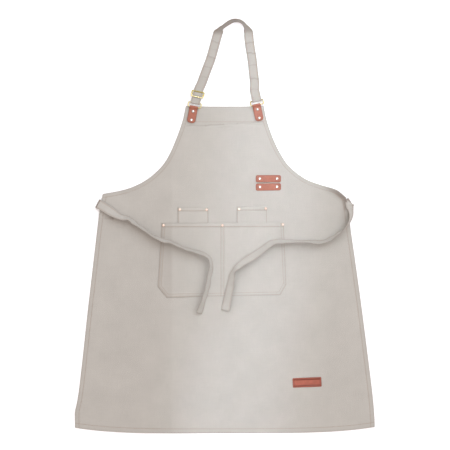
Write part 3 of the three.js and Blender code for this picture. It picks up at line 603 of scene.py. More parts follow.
def nearest_on(path, x, y, chunk=4096):
    """Distances of points from a path of straight lengths, and how far along the path each is nearest."""
    start = path[:-1]
    step = np.diff(path, axis=0)
    length = np.linalg.norm(step, axis=1)
    before = way_along(path)[:-1]
    points = np.stack((np.ravel(x), np.ravel(y)), axis=1)
    away = np.empty(len(points))
    along = np.empty(len(points))
    for first in range(0, len(points), chunk):
        part = points[first:first + chunk, None, :] - start
        share = np.clip((part * step).sum(2) / length ** 2, 0.0, 1.0)
        off = np.linalg.norm(part - share[..., None] * step, axis=2)
        best = off.argmin(axis=1)
        at = np.arange(len(best))
        away[first:first + chunk] = off[at, best]
        along[first:first + chunk] = before[best] + share[at, best] * length[best]
    return away.reshape(np.shape(x)), along.reshape(np.shape(x))


def evenly(path, spacing):
    """A path of any dimension sampled again at an even spacing."""
    way = way_along(path)
    count = max(2, int(round(way[-1] / spacing)) + 1)
    return between(np.linspace(0.0, way[-1], count), way, path)


def moved_in(path, distance):
    """A plan path moved sideways to the left of the way it runs."""
    run = unit(np.gradient(path, axis=0))
    return path + distance * np.stack((-run[:, 1], run[:, 0]), axis=1)


def laid_on(front, path):
    """A plan path laid on a front, with upright normals."""
    height = front(path[:, 0], path[:, 1])
    return np.column_stack((path, height + STITCH_LIFT)), np.broadcast_to(UP, (len(path), 3))


# Meshes

def quads(*corners):
    """Four-sided faces from four grids of point numbers."""
    return np.stack(corners, axis=-1).reshape(-1, 4)


def mesh_from(name, points, faces, thread=None, wear_and_shade=None):
    """A smooth mesh that keeps the threads' directions and its wear and painted shade as point attributes.
    """
    mesh = bpy.data.meshes.new(name)
    mesh.from_pydata(np.asarray(points, float).tolist(), [], faces)
    count = len(mesh.vertices)
    directions = mesh.attributes.new("thread", "FLOAT_VECTOR", "POINT")
    placed = np.asarray(points if thread is None else thread, np.float32)
    directions.data.foreach_set("vector", placed.reshape(count, 3).ravel())
    darkening = mesh.attributes.new("wear_and_shade", "FLOAT", "POINT")
    marks = np.zeros(count) if wear_and_shade is None else np.asarray(wear_and_shade)
    darkening.data.foreach_set("value", marks.astype(np.float32).ravel())
    mesh.validate()
    mesh.update()
    mesh.shade_smooth()
    return mesh


def closed_sheet(name, front, back, wear_and_shade):
    """A thin closed sheet from two grids of points, with its threads along X and Y."""
    rows, columns = front.shape[:2]
    points = np.vstack((front.reshape(-1, 3), back.reshape(-1, 3)))
    offset = rows * columns
    number = np.arange(offset).reshape(rows, columns)
    upper = quads(number[:-1, :-1], number[1:, :-1], number[1:, 1:], number[:-1, 1:])
    lower = upper[:, (0, 3, 2, 1)] + offset
    rim = np.concatenate((number[:-1, 0], number[-1, :-1], number[:0:-1, -1], number[0, :0:-1]))
    after = np.roll(rim, -1)
    faces = np.vstack((upper, lower, quads(rim, rim + offset, after + offset, after))).tolist()
    thread = points * (1.0, 1.0, 0.0)
    marks = np.concatenate((wear_and_shade.ravel(), wear_and_shade.ravel()))
    return mesh_from(name, points, faces, thread, marks)


def upward(normals):
    """1 where a strip's face looks up, -1 where it looks down, and smooth between."""
    return np.clip(3 * normals[:, 2], -1.0, 1.0)


def strip_mesh(name, centres, edges, normals, widths, section, relief=None, stain_and_shade=None, rub=LEATHER_RUB):
    """A closed strip. The section is a list of places across it, as shares of the half width and as
    distances in from the edge, with the half thickness at each. Its edges are darkened so far in, and
    stains and painted shade are given by the distances along and across."""
    share, inset, half_thick = (np.array(column) for column in zip(*section))
    widths = np.broadcast_to(widths, len(centres))
    across = share * (widths[:, None] - np.abs(inset))
    along = way_along(centres)
    lift = np.zeros_like(across) if relief is None else relief(along[:, None], across, widths[:, None])
    lift = lift * upward(normals)[:, None]
    base = centres[:, None] + edges[:, None] * across[..., None]
    upper = base + normals[:, None] * (lift + half_thick)[..., None]
    lower = base[:, 1:-1] + normals[:, None] * (lift - half_thick)[:, 1:-1, None]
    ring = np.concatenate((upper, lower[:, ::-1]), axis=1)
    stations, sides = ring.shape[:2]
    number = np.arange(stations * sides).reshape(stations, sides)
    beside = np.roll(number, -1, axis=1)
    faces = quads(number[:-1], number[1:], beside[1:], beside[:-1]).tolist()
    faces.append(number[0].tolist())
    faces.append(number[-1, ::-1].tolist())
    over = np.concatenate((across, across[:, -2:0:-1]), axis=1)
    thread = np.stack((over, np.broadcast_to(along[:, None], over.shape), np.zeros_like(over)), axis=-1)
    from_edge = np.broadcast_to(widths[:, None], over.shape) - np.abs(over)
    from_end = np.minimum(along, along[-1] - along)[:, None]
    wear_and_shade = np.exp(-np.minimum(from_edge, from_end) / rub)
    if stain_and_shade:
        wear_and_shade = np.clip(wear_and_shade + stain_and_shade(along[:, None], over), 0.0, MOST_DARKENED)
    return mesh_from(name, ring.reshape(-1, 3), faces, thread.reshape(-1, 3), wear_and_shade.ravel())


def wire_ring(path, radius, sides=14):
    """A closed ring of round wire along a flat closed path about the origin."""
    run = unit(np.roll(path, -1, axis=0) - np.roll(path, 1, axis=0))
    out = np.stack((run[:, 1], -run[:, 0]), axis=1)
    angle = np.arange(sides) / sides * TURN
    flat = path[:, None] + out[:, None] * (radius * np.cos(angle))[None, :, None]
    height = np.broadcast_to(radius * np.sin(angle), flat.shape[:2])
    points = np.concatenate((flat, height[..., None]), axis=2)
    return points.reshape(-1, 3), ring_faces(len(path), sides)


def ring_faces(stations, sides):
    """Faces of a grid that closes on itself both ways."""
    number = np.arange(stations * sides).reshape(stations, sides)
    ahead = np.roll(number, -1, axis=0)
    return quads(number, ahead, np.roll(ahead, -1, axis=1), np.roll(number, -1, axis=1)).tolist()


def rounded_rectangle(width, height, radius, steps=8, sides=6):
    """A closed plan path of a rectangle with round corners."""
    path = []
    corners = ((1, 1), (-1, 1), (-1, -1), (1, -1))
    for quarter, (x, y) in enumerate(corners):
        middle = np.array((x * (width / 2 - radius), y * (height / 2 - radius)))
        angle = (quarter + np.arange(steps + 1) / steps) * math.pi / 2
        path.append(middle + radius * np.stack((np.cos(angle), np.sin(angle)), axis=1))
        follow = corners[(quarter + 1) % 4]
        end = np.array((follow[0] * (width / 2 - radius), follow[1] * (height / 2 - radius)))
        turn = (quarter + 1) * math.pi / 2
        reach = radius * np.array((math.cos(turn), math.sin(turn)))
        path.append(lerp(path[-1][-1], end + reach, (np.arange(1, sides) / sides)[:, None]))
    return np.vstack(path)


def turned(points, degrees, x=0.0, y=0.0):
    """Points turned about the vertical and moved."""
    angle = math.radians(degrees)
    points = np.asarray(points, float)
    out = points.copy()
    out[..., 0] = x + points[..., 0] * math.cos(angle) - points[..., 1] * math.sin(angle)
    out[..., 1] = y + points[..., 0] * math.sin(angle) + points[..., 1] * math.cos(angle)
    return out


# Finishes

class Nodes:
    """A material's nodes, added one after another."""

    def __init__(self, name):
        self.material = bpy.data.materials.new(name)
        self.material.use_nodes = True
        self.tree = self.material.node_tree
        self.shader = self.tree.nodes["Principled BSDF"]

    def add(self, kind, settings=None, **inputs):
        """A node with its settings, and its inputs by name as values or as other nodes' outputs."""
        made = self.tree.nodes.new(kind)
        for name, value in (settings or {}).items():
            setattr(made, name, value)
        for name, value in inputs.items():
            self.feed(made, name.replace("_", " "), value)
        return made

    def feed(self, made, name, value):
        """Sets or links one input of a node."""
        socket = made.inputs[int(name)] if name.isdigit() else made.inputs[name]
        if isinstance(value, bpy.types.NodeSocket):
            self.tree.links.new(value, socket)
        else:
            socket.default_value = value

    def math(self, operation, a, b=0.0):
        """The output of a sum or another reckoning on two values."""
        made = self.tree.nodes.new("ShaderNodeMath")
        made.operation = operation
        self.feed(made, "0", a)
        self.feed(made, "1", b)
        return made.outputs[0]

    def mixed(self, share, a, b, blend="MIX"):
        """Two colours mixed."""
        made = self.tree.nodes.new("ShaderNodeMix")
        made.data_type = "RGBA"
        made.blend_type = blend
        for name, value in (("0", share), ("6", a), ("7", b)):
            self.feed(made, name, value)
        return made.outputs[2]

    def noise(self, vector, scale, detail=2.0, roughness=0.5):
        """Soft noise over a vector."""
        values = {"Vector": vector, "Scale": scale, "Detail": detail, "Roughness": roughness}
        return self.add("ShaderNodeTexNoise", **values).outputs["Fac"]

    def attribute(self, name):
        """A point attribute of the mesh."""
        made = self.tree.nodes.new("ShaderNodeAttribute")
        made.attribute_name = name
        return made

    def stretched(self, vector, x, y):
        """A vector whose X and Y are scaled apart."""
        made = self.add("ShaderNodeVectorMath", {"operation": "MULTIPLY"})
        self.feed(made, "0", vector)
        self.feed(made, "1", (x, y, 1.0))
        return made.outputs[0]

    def relief(self, height, strength, distance):
        """Raises the surface by a height."""
        made = self.add("ShaderNodeBump", Height=height, Strength=strength, Distance=distance)
        self.feed(self.shader, "Normal", made.outputs["Normal"])

    def set(self, **values):
        """Sets or links the shader's own inputs."""
        for name, value in values.items():
            self.feed(self.shader, name.replace("_", " "), value)


def shade(colour, factor):
    """A colour made darker or lighter, with its alpha."""
    return (*(min(1.0, c * factor) for c in colour[:3]), 1.0)


def canvas_finish(look):
    """Plain-woven cotton canvas: over and under threads, slubs, soft mottling, painted shade between
    threads, and darker seams and edges from wear and painted shade.
    """
    n = Nodes("woven_canvas")
    thread = n.attribute("thread")
    place = thread.outputs["Vector"]
    wander = n.noise(place, 240.0, 1.0)
    split = n.add("ShaderNodeSeparateXYZ", Vector=place)
    turn = 2 * math.pi / look.weave_pitch
    sway = n.math("MULTIPLY", wander, 1.6)
    warp = n.math("SINE", n.math("ADD", n.math("MULTIPLY", split.outputs["X"], turn), sway))
    weft = n.math("SINE", n.math("ADD", n.math("MULTIPLY", split.outputs["Y"], turn), sway))
    weave = n.math("MULTIPLY", warp, weft)
    slub_up = n.noise(n.stretched(place, 1.0, 0.06), 520.0, 2.0)
    slub_over = n.noise(n.stretched(place, 0.06, 1.0), 520.0, 2.0)
    slubs = n.math("MULTIPLY", n.math("ADD", slub_up, slub_over), 0.5)
    mottle = n.noise(place, 17.0, 4.0, 0.6)
    tone = n.math("ADD", n.math("MULTIPLY", slubs, 0.45), n.math("MULTIPLY", mottle, 0.55))
    ramp = n.add("ShaderNodeMapRange", Value=tone, From_Min=0.30, From_Max=0.70)
    cloth = n.mixed(ramp.outputs[0], shade(look.canvas, 0.93), shade(look.canvas, 1.07))
    # Painted shade in the hollows between the threads
    weave_shade = n.math("MULTIPLY", n.math("SUBTRACT", 1.0, weave), 0.05)
    threads = n.mixed(weave_shade, cloth, shade(look.canvas, 0.55))
    # The attribute darkens the cloth towards the seam colour: wear and painted shade along edges and seams,
    # and painted shade at creases, the curled corner, the neck strap's arch and the ties' folds
    wear_and_shade = n.attribute("wear_and_shade").outputs["Fac"]
    n.set(Base_Color=n.mixed(n.math("MULTIPLY", wear_and_shade, 0.5), threads, (*look.seam, 1.0)))
    n.set(Roughness=0.93, Specular_IOR_Level=0.18, Sheen_Weight=0.12, Sheen_Roughness=0.55)
    n.relief(n.math("ADD", weave, n.math("MULTIPLY", slubs, 1.5)), 0.5, 0.00022)
    return n.material


def thread_finish(look):
    """Tan sewing thread with its twist."""
    n = Nodes("sewing_thread")
    place = n.attribute("thread").outputs["Vector"]
    split = n.add("ShaderNodeSeparateXYZ", Vector=place)
    lean = n.math("ADD", split.outputs["X"], split.outputs["Y"])
    twist = n.math("SINE", n.math("MULTIPLY", lean, 9000.0))
    patchy = n.noise(place, 60.0, 2.0)
    n.set(Base_Color=n.mixed(patchy, shade(look.thread, 0.82), shade(look.thread, 1.12)))
    n.set(Roughness=0.75, Specular_IOR_Level=0.25, Sheen_Weight=0.1)
    n.relief(twist, 0.4, 0.0001)
    return n.material


def leather_finish(name, colour):
    """Waxed vegetable-tanned leather: pebbled grain, cloudy dye and burnished darker edges."""
    n = Nodes(name)
    place = n.add("ShaderNodeTexCoord").outputs["Object"]
    grain = n.add("ShaderNodeTexVoronoi", {"feature": "SMOOTH_F1"}, Vector=place, Scale=1100.0)
    pores = n.noise(place, 2600.0, 2.0)
    clouds = n.noise(place, 120.0, 4.0, 0.6)
    ramp = n.add("ShaderNodeMapRange", Value=clouds, From_Min=0.3, From_Max=0.7)
    dyed = n.mixed(ramp.outputs[0], shade(colour, 0.86), shade(colour, 1.12))
    pitted = n.mixed(n.math("MULTIPLY", grain.outputs["Distance"], 0.35), dyed, shade(colour, 0.7))
    wear_and_shade = n.attribute("wear_and_shade").outputs["Fac"]
    n.set(Base_Color=n.mixed(n.math("MULTIPLY", wear_and_shade, 0.75), pitted, shade(colour, 0.42)))
    n.set(Roughness=n.math("ADD", n.math("MULTIPLY", clouds, 0.25), 0.40), Specular_IOR_Level=0.4)
    n.relief(n.math("ADD", grain.outputs["Distance"], n.math("MULTIPLY", pores, 0.5)), 0.35, 0.00025)
    return n.material


def metal_finish(name, colour, roughness):
    """Polished plate with faint tarnish and fine rubbing, darkened by its attribute: painted dark
    reflection on the rings and the slide, and a darker brim on the rivets.
    """
    n = Nodes(name)
    place = n.add("ShaderNodeTexCoord").outputs["Object"]
    tarnish = n.noise(place, 260.0, 3.0, 0.6)
    rub = n.noise(n.stretched(place, 0.12, 1.0), 5200.0, 1.0)
    plate = n.mixed(tarnish, shade(colour, 0.82), shade(colour, 1.1))
    darkened = (*(c * left for c, left in zip(colour, DARKENED_SHARES)), 1.0)
    n.set(Base_Color=n.mixed(n.attribute("wear_and_shade").outputs["Fac"], plate, darkened), Metallic=1.0)
    n.set(Roughness=n.math("ADD", n.math("MULTIPLY", tarnish, 0.16), roughness))
    n.relief(rub, 0.08, 0.00005)
    return n.material


def floor_finish(look):
    """A plain pale floor."""
    n = Nodes("studio_floor")
    place = n.add("ShaderNodeTexCoord").outputs["Object"]
    faint = n.noise(place, 3.0, 2.0)
    n.set(Base_Color=n.mixed(faint, shade(look.floor, 0.995), (*look.floor, 1.0)))
    n.set(Roughness=0.9, Specular_IOR_Level=0.1)
    n.set(Emission_Color=(1.0, 1.0, 1.0, 1.0), Emission_Strength=look.floor_glow)
    return n.material


def looks():
    """The looks that are set in the scene."""
    return bpy.context.scene.apron_look


def finish(name):
    """A finish by name, made the first time that it is asked for."""
    look = looks()
    makers = {
        "woven_canvas": lambda: canvas_finish(look),
        "sewing_thread": lambda: thread_finish(look),
        "tan_leather": lambda: leather_finish(name, look.leather),
        "label_leather": lambda: leather_finish(name, look.label_leather),
        "cast_brass": lambda: metal_finish(name, look.brass, 0.16),
        "nickel_plate": lambda: metal_finish(name, look.nickel, 0.14),
        "copper_plate": lambda: metal_finish(name, look.copper, 0.28),
    }
    return bpy.data.materials.get(name) or makers[name]()


def add_piece(mesh, material, slot, *nodes):
    """A piece of the apron that rides on its body, and stands for CAD nodes where it replaces any."""
    piece = bpy.data.objects.new(mesh.name, mesh)
    bpy.context.scene.collection.objects.link(piece)
    mesh.materials.append(finish(material))
    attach(piece, BODY)
    if nodes:
        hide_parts(*nodes)
    return piece


def stitches(name, runs):
    """One piece of sewn thread: short raised stitches along runs of points with their normals."""
    look = looks()
    sides = STITCH_SIDES
    template = np.array([(t, r * math.cos(a), r * math.sin(a) * STITCH_FLAT + drop)
                         for t, r, drop in STITCH_PROFILE for a in np.arange(sides) / sides * TURN])
    number = np.arange(len(template)).reshape(-1, sides)
    beside = np.roll(number, -1, axis=1)
    skin = quads(number[:-1], beside[:-1], beside[1:], number[1:])
    half = look.stitch_length / 2
    lay = template * (half, look.stitch_width / 2, look.stitch_width / 2)
    points = []
    thread = []
    for path, normal in runs:
        way = way_along(path)
        count = max(1, int(way[-1] / look.stitch_pitch))
        at = (np.arange(count) + 0.5) * way[-1] / count
        ahead = unit(between(at + half, way, path) - between(at - half, way, path))
        side = unit(np.cross(unit(between(at, way, normal)), ahead))
        axes = np.stack((ahead, side, np.cross(ahead, side)), axis=1)
        points.append(between(at, way, path)[:, None] + lay @ axes)
        thread.append(lay + np.array((1.0, 0.0, 0.0)) * at[:, None, None])
    points = np.concatenate(points)
    base = np.arange(len(points)) * len(template)
    faces = (base[:, None, None] + skin).reshape(-1, 4).tolist()
    for end in (number[0, ::-1], number[-1]):
        faces += (base[:, None] + end).tolist()
    mesh = mesh_from(name, points.reshape(-1, 3), faces, np.concatenate(thread).reshape(-1, 3))
    return add_piece(mesh, "sewing_thread", "canvas")


# The panel

def pressed(x, tone):
    """The darker cloth on the left of the line along which the apron was folded."""
    return tone * (1 - ease(x, PRESS_X - PRESS_SOFT, PRESS_X + PRESS_SOFT)) * ease(x, PRESS_END, PRESS_X)


def cloth_wear_and_shade(darkening, x, edge, groove, hem):
    """How dark a sheet is, by its distances from the edge and by its seams and hems."""
    sewn = darkening.edge * np.exp(-edge / darkening.reach) + darkening.seam * groove + darkening.hem * hem
    return sewn + pressed(x, darkening.press)


def edge_curves(rows):
    """The panel's left and right edges through an outline table, as x, y and sag."""
    left = np.array([(-row.left, BIB_TOP - row.left_below, row.sag) for row in rows])
    right = np.array([(row.right, BIB_TOP - row.right_below, row.sag) for row in rows])
    lengths = np.maximum(*(np.linalg.norm(np.diff(side[:, :2], axis=0), axis=1) for side in (left, right)))
    steps = [max(2, math.ceil(length / row.spacing)) for length, row in zip(lengths, rows)]
    return smooth_through(left, steps), smooth_through(right, steps)


def slant(edge):
    """How much longer an edge is than it is deep, at each of its rows."""
    run = np.gradient(edge[:, :2], axis=0)
    return np.minimum(np.linalg.norm(run, axis=1) / np.maximum(np.abs(run[:, 1]), 1e-9), STEEPEST_SLANT)


def evened(values, reach=SLANT_REACH):
    """Values averaged with their neighbours."""
    window = np.hanning(2 * reach + 3)[1:-1]
    padded = np.pad(values, reach, mode="edge")
    return np.convolve(padded, window / window.sum(), mode="valid")


class Hem(NamedTuple):
    """An edge of the panel that is turned and sewn: its path and the depth of its stitching."""

    path: np.ndarray
    depth: float


class BodyPanel:
    """The body of the apron: its grid, its hems and the heights of its front."""

    def __init__(self):
        arm_left, arm_right = edge_curves(ARMHOLE)
        side_left, side_right = edge_curves(SKIRT)
        self.left = np.vstack((arm_left[:-1], side_left))
        self.right = np.vstack((arm_right[:-1], side_right))
        self.slant_left = evened(np.concatenate((slant(arm_left)[:-1], slant(side_left))))
        self.slant_right = evened(np.concatenate((slant(arm_right)[:-1], slant(side_right))))
        self.x, self.y = self.grid()
        bottom = np.stack((self.x[-1], self.y[-1]), axis=1)
        top = np.stack((self.x[0], self.y[0]), axis=1)
        self.hems = [
            Hem(evenly(arm_left[:, :2], ARMHOLE_STEP), ARMHOLE_HEM),
            Hem(evenly(side_left[:, :2], SIDE_STEP), SIDE_HEM),
            Hem(evenly(bottom, LEVEL_STEP), BOTTOM_HEM),
            Hem(evenly(side_right[::-1, :2], SIDE_STEP), SIDE_HEM),
            Hem(evenly(arm_right[::-1, :2], ARMHOLE_STEP), ARMHOLE_HEM),
            Hem(evenly(top[::-1], LEVEL_STEP), FACING),
        ]
        self.curl = np.array([(x, BIB_TOP - below) for x, below in CURL_EDGE])
        draw = np.random.default_rng(WAVE_SEED)
        length = np.geomspace(WAVE_SHORTEST, WAVE_LONGEST, WAVE_COUNT)
        angle = draw.uniform(0.0, math.pi, WAVE_COUNT)
        self.wave_x = np.cos(angle) / length
        self.wave_y = np.sin(angle) / length
        self.wave_phase = draw.uniform(0.0, 1.0, WAVE_COUNT)
        self.wave_height = WAVE_SLOPE * length / TURN / math.sqrt(WAVE_COUNT)

    def grid(self):
        """The plan of the grid, with columns close together at the hems."""
        left = self.left[:, None, :]
        right = self.right[:, None, :]
        from_left = left[..., 0] + self.slant_left[:, None] * HEM_COLUMNS
        from_right = right[..., 0] - self.slant_right[:, None] * HEM_COLUMNS[::-1]
        inner = np.linspace(0.0, 1.0, INNER_COLUMNS + 2)[1:-1]
        middle = lerp(from_left[:, -1:], from_right[:, :1], inner)
        x = np.hstack((from_left, middle, from_right))
        share = (x - left[..., 0]) / (right[..., 0] - left[..., 0])
        y = lerp(left[..., 1], right[..., 1], share) - left[..., 2] * (1 - (2 * share - 1) ** 4)
        return x, y

    def level(self, x, y):
        """The height of the single cloth away from the hems."""
        z = PANEL_FRONT + FACING_LIFT * (1 - ease(BIB_TOP - y, FACING_DEPTH, FACING_FADE))
        for corner in CORNER_LIFTS:
            away = np.hypot(x - corner.x, y - corner.y) / corner.reach
            z = z + corner.lift * np.exp(-away ** 2 / 2)
        z = z + CURL_LIFT * self.curled(x, y)
        for crease in CREASES:
            z = z + self.fold(crease, x, y)[0]
        for i in range(WAVE_COUNT):
            turn = TURN * (x * self.wave_x[i] + y * self.wave_y[i] + self.wave_phase[i])
            z = z + self.wave_height[i] * np.sin(turn)
        return z

    def curled(self, x, y):
        """How far the cloth curls up at the right waist corner, from 0 to 1."""
        away, along = nearest_on(self.curl, x, y)
        return (1 - ease(away, 0.0, CURL_REACH)) * ease(along, *CURL_GROWS) * (1 - ease(along, *CURL_ENDS))

    def curl_shaded(self, x, y):
        """The painted shade inside the curled hem, from 0 to 1, which grows and widens towards the corner.
        """
        away, along = nearest_on(self.curl, x, y)
        grown = ease(along, *CURL_SHADE_GROWS)
        reach = CURL_SHADE_BAND * lerp(0.4, 1.0, grown)
        return grown * (1 - ease(along, *CURL_SHADE_ENDS)) * (1 - ease(away, CURL_SHADE_CORE * CURL_SHADE_BAND, reach))

    @staticmethod
    def fold(crease, x, y):
        """The rise of one pressed fold, which fades towards its ends, and the painted shade line along it.
        """
        run = np.array((crease.x1 - crease.x0, crease.y1 - crease.y0))
        length = np.linalg.norm(run)
        run = run / length
        along = ((x - crease.x0) * run[0] + (y - crease.y0) * run[1]) / length
        off = (y - crease.y0) * run[0] - (x - crease.x0) * run[1]
        off = off + CREASE_STRAY * uneven_wave(along * length, *CREASE_WAVE)
        soft = np.sqrt(off ** 2 + CREASE_ROUND ** 2) - CREASE_ROUND
        fade = ease(along, *CREASE_STARTS) * ease(1 - along, *CREASE_ENDS)
        rise = crease.height * np.exp(-soft / crease.reach) * fade
        return rise, crease.mark * bell(off, *CREASE_SHADE_LINE) * fade

    def seams(self, x, y):
        """What the hems do to the cloth: layers, stitch grooves, puckers and the nearness of the edge."""
        layers = np.zeros_like(x)
        groove = np.zeros_like(x)
        pucker = np.zeros_like(x)
        nearest = np.full_like(x, 1.0)
        for hem in self.hems:
            away, along = nearest_on(hem.path, x, y)
            facing = hem.depth == FACING
            layers = np.maximum(layers, 1 - ease(away, hem.depth, hem.depth + HEM_FADE))
            sewn = bell(away, hem.depth, GROOVE_WIDTH) * (FACING_GROOVE if facing else 1.0)
            groove = np.maximum(groove, sewn)
            drawn = bell(away, hem.depth, PUCKER_REACH) * (FACING_PUCKER if facing else 1.0)
            pucker = pucker + drawn * uneven_wave(along, *PUCKER_WAVE)
            nearest = np.minimum(nearest, away)
        return layers, groove, pucker, nearest

    def front(self, x, y):
        """The height of the front with its hems."""
        layers, groove, pucker, nearest = self.seams(x, y)
        rise = HEM_RISE * layers - GROOVE_DEPTH * groove + PUCKER_HEIGHT * pucker
        return self.level(x, y) + (rise - EDGE_FALL * rounding(nearest, EDGE_ROUND))

    def mesh(self):
        """The closed sheet, thicker where it is turned under."""
        x, y = self.x, self.y
        layers, groove, _, nearest = self.seams(x, y)
        front = self.front(x, y)
        thin = EDGE_THIN * rounding(nearest, EDGE_ROUND)
        thick = CLOTH * (1 + layers) - thin * (0.5 + 0.5 * layers)
        back = np.maximum(front - np.maximum(thick, THINNEST), 0.0)
        front = np.maximum(front, back + THINNEST)
        # Wear along the edges, seams and hems and on the pressed side, and painted shade along the outline
        # at the edge, inside the curled corner and along the creases
        wear_and_shade = cloth_wear_and_shade(PANEL_WEAR_AND_SHADE, x, nearest, groove, layers) + CURL_SHADE * self.curl_shaded(x, y)
        wear_and_shade = np.clip(wear_and_shade + sum(self.fold(crease, x, y)[1] for crease in CREASES), 0.0, MOST_DARKENED)
        return closed_sheet("body_cloth", np.stack((x, y, front), -1), np.stack((x, y, back), -1), wear_and_shade)

    def stitch_runs(self):
        """The runs of hem stitching."""
        runs = []
        for hem in self.hems:
            path = evenly(moved_in(hem.path, hem.depth), STITCH_SAMPLE)
            runs.append(laid_on(self.front, path[self.holds(*path.T)]))
        return runs

    def holds(self, x, y):
        """Which points lie on the panel, clear of its rim."""
        left, right = (np.interp(y, edge[::-1, 1], edge[::-1, 0]) for edge in (self.left, self.right))
        return (x > left + RIM_CLEAR) & (x < right - RIM_CLEAR) & (y < BIB_TOP - TOP_CLEAR)


@functools.cache
def body_panel():
    """The body's form, worked out once."""
    return BodyPanel()


# The pockets

class Pocket:
    """A patch pocket on the panel: an open top with a hem, and seams down its sides and along its foot."""

    def __init__(self, rows, seam_lines, crown=None, dividers=()):
        self.seam_lines = seam_lines
        self.crown = crown
        self.dividers = dividers
        left = np.array([(row.left, row.left_y) for row in rows])
        right = np.array([(row.right, row.right_y) for row in rows])
        self.seam_path = np.vstack((left, right[::-1]))
        self.opening = np.stack((left[0], right[0]))
        stations = []
        for i, row in enumerate(rows[:-1]):
            count = max(2, math.ceil((row.left_y - rows[i + 1].left_y) / row.spacing))
            stations.append(i + np.arange(count) / count)
        at = np.concatenate((*stations, [len(rows) - 1.0]))
        number = np.arange(len(rows))
        self.left = between(at, number, left)
        self.right = between(at, number, right)

    def grid(self, inner):
        """The plan of the pocket's grid, with columns close together at its seams."""
        deepest = self.seam_lines[-1]
        columns = {*RIM_COLUMNS, *(deepest + step for step in PAST_SEAM_COLUMNS)}
        columns.update(line + step for line in self.seam_lines for step in SEAM_COLUMNS)
        columns = np.array(sorted(columns))
        left = self.left[:, :1] + columns
        right = self.right[:, :1] - columns[::-1]
        fixed = sorted(line + step for line in self.dividers for step in DIVIDER_COLUMNS)
        middle = [lerp(left[:, -1:], right[:, :1], share) for share in inner]
        if fixed:
            pegs = np.broadcast_to(fixed, (len(left), len(fixed)))
            lower = [lerp(left[:, -1:], pegs[:, :1], share) for share in inner]
            upper = [lerp(pegs[:, -1:], right[:, :1], share) for share in inner]
            middle = [*lower, pegs, *upper]
        x = np.hstack((left, *middle, right))
        share = (x - self.left[:, :1]) / (self.right[:, :1] - self.left[:, :1])
        return x, lerp(self.left[:, 1:], self.right[:, 1:], share)

    def back(self, x, y):
        """The height of the pocket's back above the panel."""
        rise = 0.0 if self.crown is None else self.crown(x, y)
        return body_panel().level(x, y) + GAP + rise

    def relief(self, x, y):
        """The thickness of the pocket with its turned edges, and how dark it is from wear, with painted
        shade at its rim.
        """
        away, along = nearest_on(self.seam_path, x, y)
        below, _ = nearest_on(self.opening, x, y)
        deepest = self.seam_lines[-1]
        hem = 1 - ease(below, POCKET_HEM, POCKET_HEM + POCKET_HEM_FADE)
        turned_in = 1 - ease(away, *(deepest + step for step in SEAM_FADE))
        groove = bell(below, POCKET_HEM, SEAM_GROOVE_WIDTH)
        for line in self.seam_lines:
            groove = np.maximum(groove, bell(away, line, SEAM_GROOVE_WIDTH))
        for line in self.dividers:
            sewn = bell(x, line, SEAM_GROOVE_WIDTH) * ease(below, DIVIDER_TOP, POCKET_HEM)
            groove = np.maximum(groove, sewn)
        pucker = uneven_wave(along, *SEAM_WAVE) * bell(away, deepest, SEAM_PUCKER_REACH)
        rise = POCKET_HEM_RISE * hem + SEAM_RISE * np.maximum(turned_in, 0.6 * hem)
        rim = np.minimum(away, below)
        thick = CLOTH + rise - SEAM_GROOVE_DEPTH * groove + SEAM_PUCKER * pucker
        wear_and_shade = np.clip(cloth_wear_and_shade(POCKET_WEAR_AND_SHADE, x, rim, groove, hem), 0.0, 1.0)
        return lerp(thick, THINNEST, rounding(rim, POCKET_EDGE)), wear_and_shade

    def front(self, x, y):
        """The height of the pocket's front."""
        return self.back(x, y) + self.relief(x, y)[0]

    def sheet(self, name, node, columns):
        """The closed sheet of the pocket, as a piece that replaces its node."""
        x, y = self.grid(np.linspace(0.0, 1.0, columns)[1:-1])
        back = self.back(x, y)
        thick, wear_and_shade = self.relief(x, y)
        mesh = closed_sheet(name, np.stack((x, y, back + thick), -1), np.stack((x, y, back), -1), wear_and_shade)
        return add_piece(mesh, "woven_canvas", "canvas", node)

    def run(self, path):
        """A run of stitching along a plan path on the pocket's front."""
        return laid_on(self.front, evenly(path, STITCH_SAMPLE))

    def inside(self, distance):
        """The seam's path moved in by a distance, with its corners kept."""
        corners = self.seam_path
        run = unit(np.diff(corners, axis=0))
        inward = np.stack((-run[:, 1], run[:, 0]), axis=1)
        moved = [corners[0] + inward[0] * distance]
        for i in range(1, len(corners) - 1):
            bisect = unit(inward[i - 1] + inward[i])
            moved.append(corners[i] + bisect * distance / max(0.2, float(bisect @ inward[i])))
        moved.append(corners[-1] + inward[-1] * distance)
        return np.array(moved)

    def below_opening(self, distance, trim):
        """A line below the opening's edge, short of the seams by a trim."""
        start, end = self.opening - (0.0, distance)
        run = unit(end - start)
        return np.stack((start + run * trim, end - run * trim))


def pocket_crown(x, y):
    """How far the main pocket stands off the panel: full at its opening, nothing along its seams."""
    opening, foot = MAIN_POCKET[0], MAIN_POCKET[-1]
    edge = np.where(x < POCKET_SEAM_X, opening.left, opening.right)
    share = (x - POCKET_SEAM_X) / (edge - POCKET_SEAM_X)
    stand = ease(share, *CROWN_RAMP) * ease(1 - share, *CROWN_RAMP)
    down = np.clip((opening.left_y - y) / (opening.left_y - foot.right_y), 0.0, 1.0)
    return POCKET_CROWN * stand * (1 - down ** 3)


@functools.cache
def main_pocket():
    """The wide pocket with its sewn divider."""
    return Pocket(MAIN_POCKET, SEAM_LINES, pocket_crown, DIVIDER_LINES)


def pen_pocket(node):
    """A narrow pocket whose lower part lies behind the wide one."""
    x, top = PEN_TOPS[node]
    left, right = x - PEN_WIDTH / 2, x + PEN_WIDTH / 2
    levels = zip((top, top - PEN_HEM, top - PEN_DEPTH), PEN_SPACINGS)
    return Pocket([PocketRow(left, y, right, y, spacing) for y, spacing in levels], SEAM_LINES[:1])


# Straps

